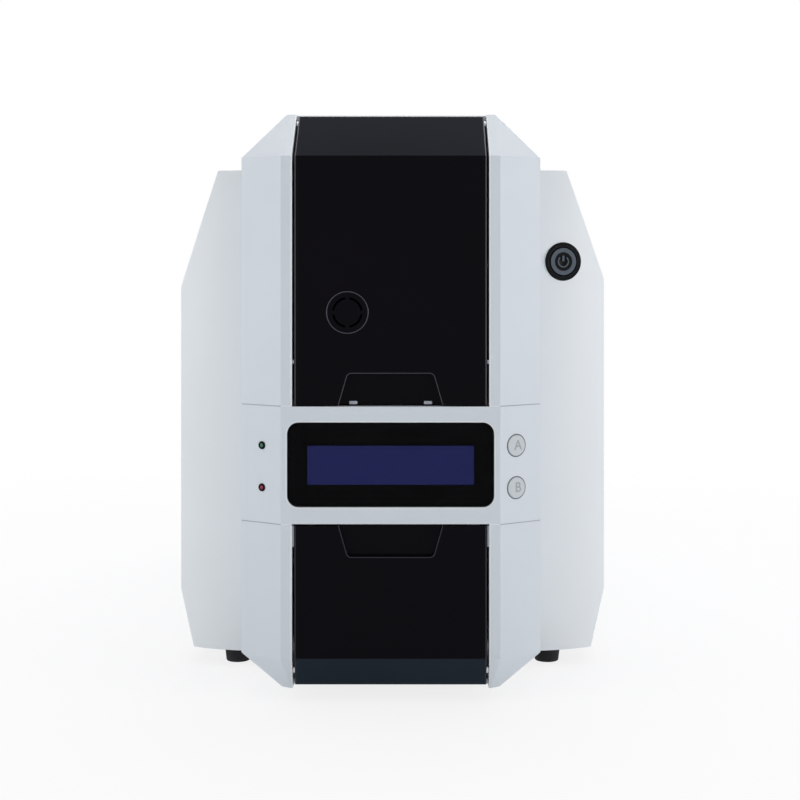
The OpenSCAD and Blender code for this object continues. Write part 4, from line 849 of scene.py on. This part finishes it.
def soft_block(name, size, place, look, body, rounding):
    """A small moulded pad with rounded edges: size in millimetres, at its middle."""
    mesh = bpy.data.meshes.new(name)
    shape = bmesh.new()
    bmesh.ops.create_cube(shape, size=1.0)
    bmesh.ops.scale(shape, vec=Vector(size) * MM, verts=shape.verts)
    bmesh.ops.bevel(shape, geom=shape.edges[:], offset=rounding * MM, segments=3, profile=0.5, affect="EDGES")
    for face in shape.faces:
        face.smooth = True
    shape.to_mesh(mesh)
    shape.free()
    return add_piece(name, mesh, look, body, place)


# Two stop pads in the upper cover's finger notch
for side in (-1, 1):
    soft_block("notch_pad_left" if side < 0 else "notch_pad_right", (3.2, 1.0, 1.3),
               shift(side * 14.5, FRONT + 2.9, 115.67), "nub_white", "upper_cover", 0.3)
    # Centring nubs in the gaps beside the covers
    where = "left" if side < 0 else "right"
    soft_block("cover_nub_" + where, (0.7, 2.4, 1.5), shift(side * 37.72, FRONT + 1.6, 131.6), "nub_white",
               "printer_body", 0.2)
    soft_block("door_nub_" + where, (0.7, 3.0, 8.2), shift(side * 37.72, FRONT + 2.0, 64.1), "nub_white",
               "printer_body", 0.25)


def seam_strip(name, outer, look, z, side):
    """A strip just inside a seam of the spine, along (x, y) points of one side, that paints the seam lighter
    than its shade.
    """
    ring = outer + [(x - 0.2, y + 1.2) for x, y in outer[::-1]]
    mesh = bpy.data.meshes.new(name)
    shape = bmesh.new()
    low = [shape.verts.new(Vector((side * x, y, z - 0.14)) * MM) for x, y in ring]
    high = [shape.verts.new(Vector((side * x, y, z + 0.14)) * MM) for x, y in ring]
    shape.faces.new(low)
    shape.faces.new(high)
    for i in range(len(ring)):
        k = (i + 1) % len(ring)
        shape.faces.new((low[i], low[k], high[k], high[i]))
    bmesh.ops.recalc_face_normals(shape, faces=shape.faces)
    shape.to_mesh(mesh)
    shape.free()
    add_piece(name, mesh, look, "printer_body")


SEAM_FRONT = [(38.3, FRONT + 0.03), (RIDGE_HALF, FRONT + 0.03)]
SEAM_BEVEL = [(RIDGE_HALF, FRONT + 0.12), (SPINE_HALF - 0.1, FRONT + BEVEL_DEPTH + 0.12)]
# Grey strips on the bevels are painted light in the seams; near-white strips on the front are a painted
# highlight
for height, z in (("upper", UPPER_SEAM_Z), ("lower", LOWER_SEAM_Z)):
    for side in (-1, 1):
        where = "left" if side < 0 else "right"
        seam_strip("%s_seam_%s" % (height, where), SEAM_BEVEL, "seam_painted_light", z, side)
        seam_strip("%s_seam_front_%s" % (height, where), SEAM_FRONT, "white_edge", z, side)


def bead_ring(name, radius, thick, look, body, place, turns=72, sides=8):
    """A round bead bent into a ring that faces the front."""
    mesh = bpy.data.meshes.new(name)
    shape = bmesh.new()
    rows = []
    for i in range(turns):
        turn = 2 * math.pi * i / turns
        row = []
        for j in range(sides):
            a = 2 * math.pi * j / sides
            reach = radius + thick * math.cos(a)
            point = Vector((reach * math.sin(turn), thick * math.sin(a), reach * math.cos(turn)))
            row.append(shape.verts.new(point * MM))
        rows.append(row)
    for i in range(turns):
        a, b = rows[i], rows[(i + 1) % turns]
        for j in range(sides):
            k = (j + 1) % sides
            shape.faces.new((a[j], a[k], b[k], b[j])).smooth = True
    bmesh.ops.recalc_face_normals(shape, faces=shape.faces)
    shape.to_mesh(mesh)
    shape.free()
    return add_piece(name, mesh, look, body, place)


# The bead in the outer groove of the lock's knock-out and its lip, in a lighter black as a painted highlight,
# and black bands of painted shade where the groove runs between its four bridges
bead_ring("lock_bead", 8.05, 0.32, "lock_bead", "upper_cover", shift(LOCK_X, FRONT + 0.36, LOCK_Z))
bead_ring("lock_lip", 4.98, 0.13, "lock_bead", "upper_cover", shift(LOCK_X, FRONT + 0.14, LOCK_Z), sides=6)
# Black bands in the groove between the bridges: painted shade
for count in range(4):
    path = arc(5.5, 90 * count + 5, 90 * count + 85, 20, LOCK_X, LOCK_Z)
    cut = swept_band(path, 0.7, FRONT + 0.06, FRONT + 0.3)
    add_piece("lock_shade_band_%d" % count, cut, "lock_painted_shade", "upper_cover")


def flat_cable(name, path, half_width, thick, look, body):
    """A flat cable along (y, z) points in millimetres, centred on x = 0, as a closed strip."""
    mesh = bpy.data.meshes.new(name)
    shape = bmesh.new()
    rows = []
    for i, (y, z) in enumerate(path):
        ahead, behind = path[min(i + 1, len(path) - 1)], path[max(i - 1, 0)]
        dy, dz = ahead[0] - behind[0], ahead[1] - behind[1]
        length = math.hypot(dy, dz)
        ny, nz = -dz / length * thick / 2, dy / length * thick / 2
        corners = ((-half_width, y + ny, z + nz), (half_width, y + ny, z + nz), (half_width, y - ny, z - nz),
                   (-half_width, y - ny, z - nz))
        rows.append([shape.verts.new(Vector(p) * MM) for p in corners])
    for a, b in zip(rows, rows[1:]):
        for j in range(4):
            k = (j + 1) % 4
            shape.faces.new((a[j], a[k], b[k], b[j]))
    shape.faces.new(rows[0][::-1])
    shape.faces.new(rows[-1])
    bmesh.ops.recalc_face_normals(shape, faces=shape.faces)
    shape.to_mesh(mesh)
    shape.free()
    return add_piece(name, mesh, look, body)


def rounded_path(points, radius, steps=6):
    """The points with their inner corners turned into short arcs."""
    path = [points[0]]
    for before, corner, after in zip(points, points[1:], points[2:]):
        corner_v = Vector(corner)
        back = (Vector(before) - corner_v).normalized() * radius
        on = (Vector(after) - corner_v).normalized() * radius
        for i in range(steps + 1):
            t = i / steps
            path.append(tuple(corner_v + back * (1 - t) ** 2 + on * t ** 2))
    path.append(points[-1])
    return path


# The print head's flat cable, up the bracket and back under the lid to a clamp
HEAD_CABLE = [(16.8, 131.0), (19.5, 131.0), (19.5, 152.0), (29.0, 160.0), (29.0, 226.4), (58.0, 226.4)]
flat_cable("head_cable", rounded_path(HEAD_CABLE, 2.2), 9.0, 0.25, "flex", "top_lid")
soft_block("head_cable_clamp", (24.0, 5.0, 1.6), shift(0, 60.0, 226.2), "inner_black", "top_lid", 0.4)
soft_block("head_cable_plug", (22.0, 3.4, 4.2), shift(0, 18.4, 130.8), "spool_white", "top_lid", 0.4)
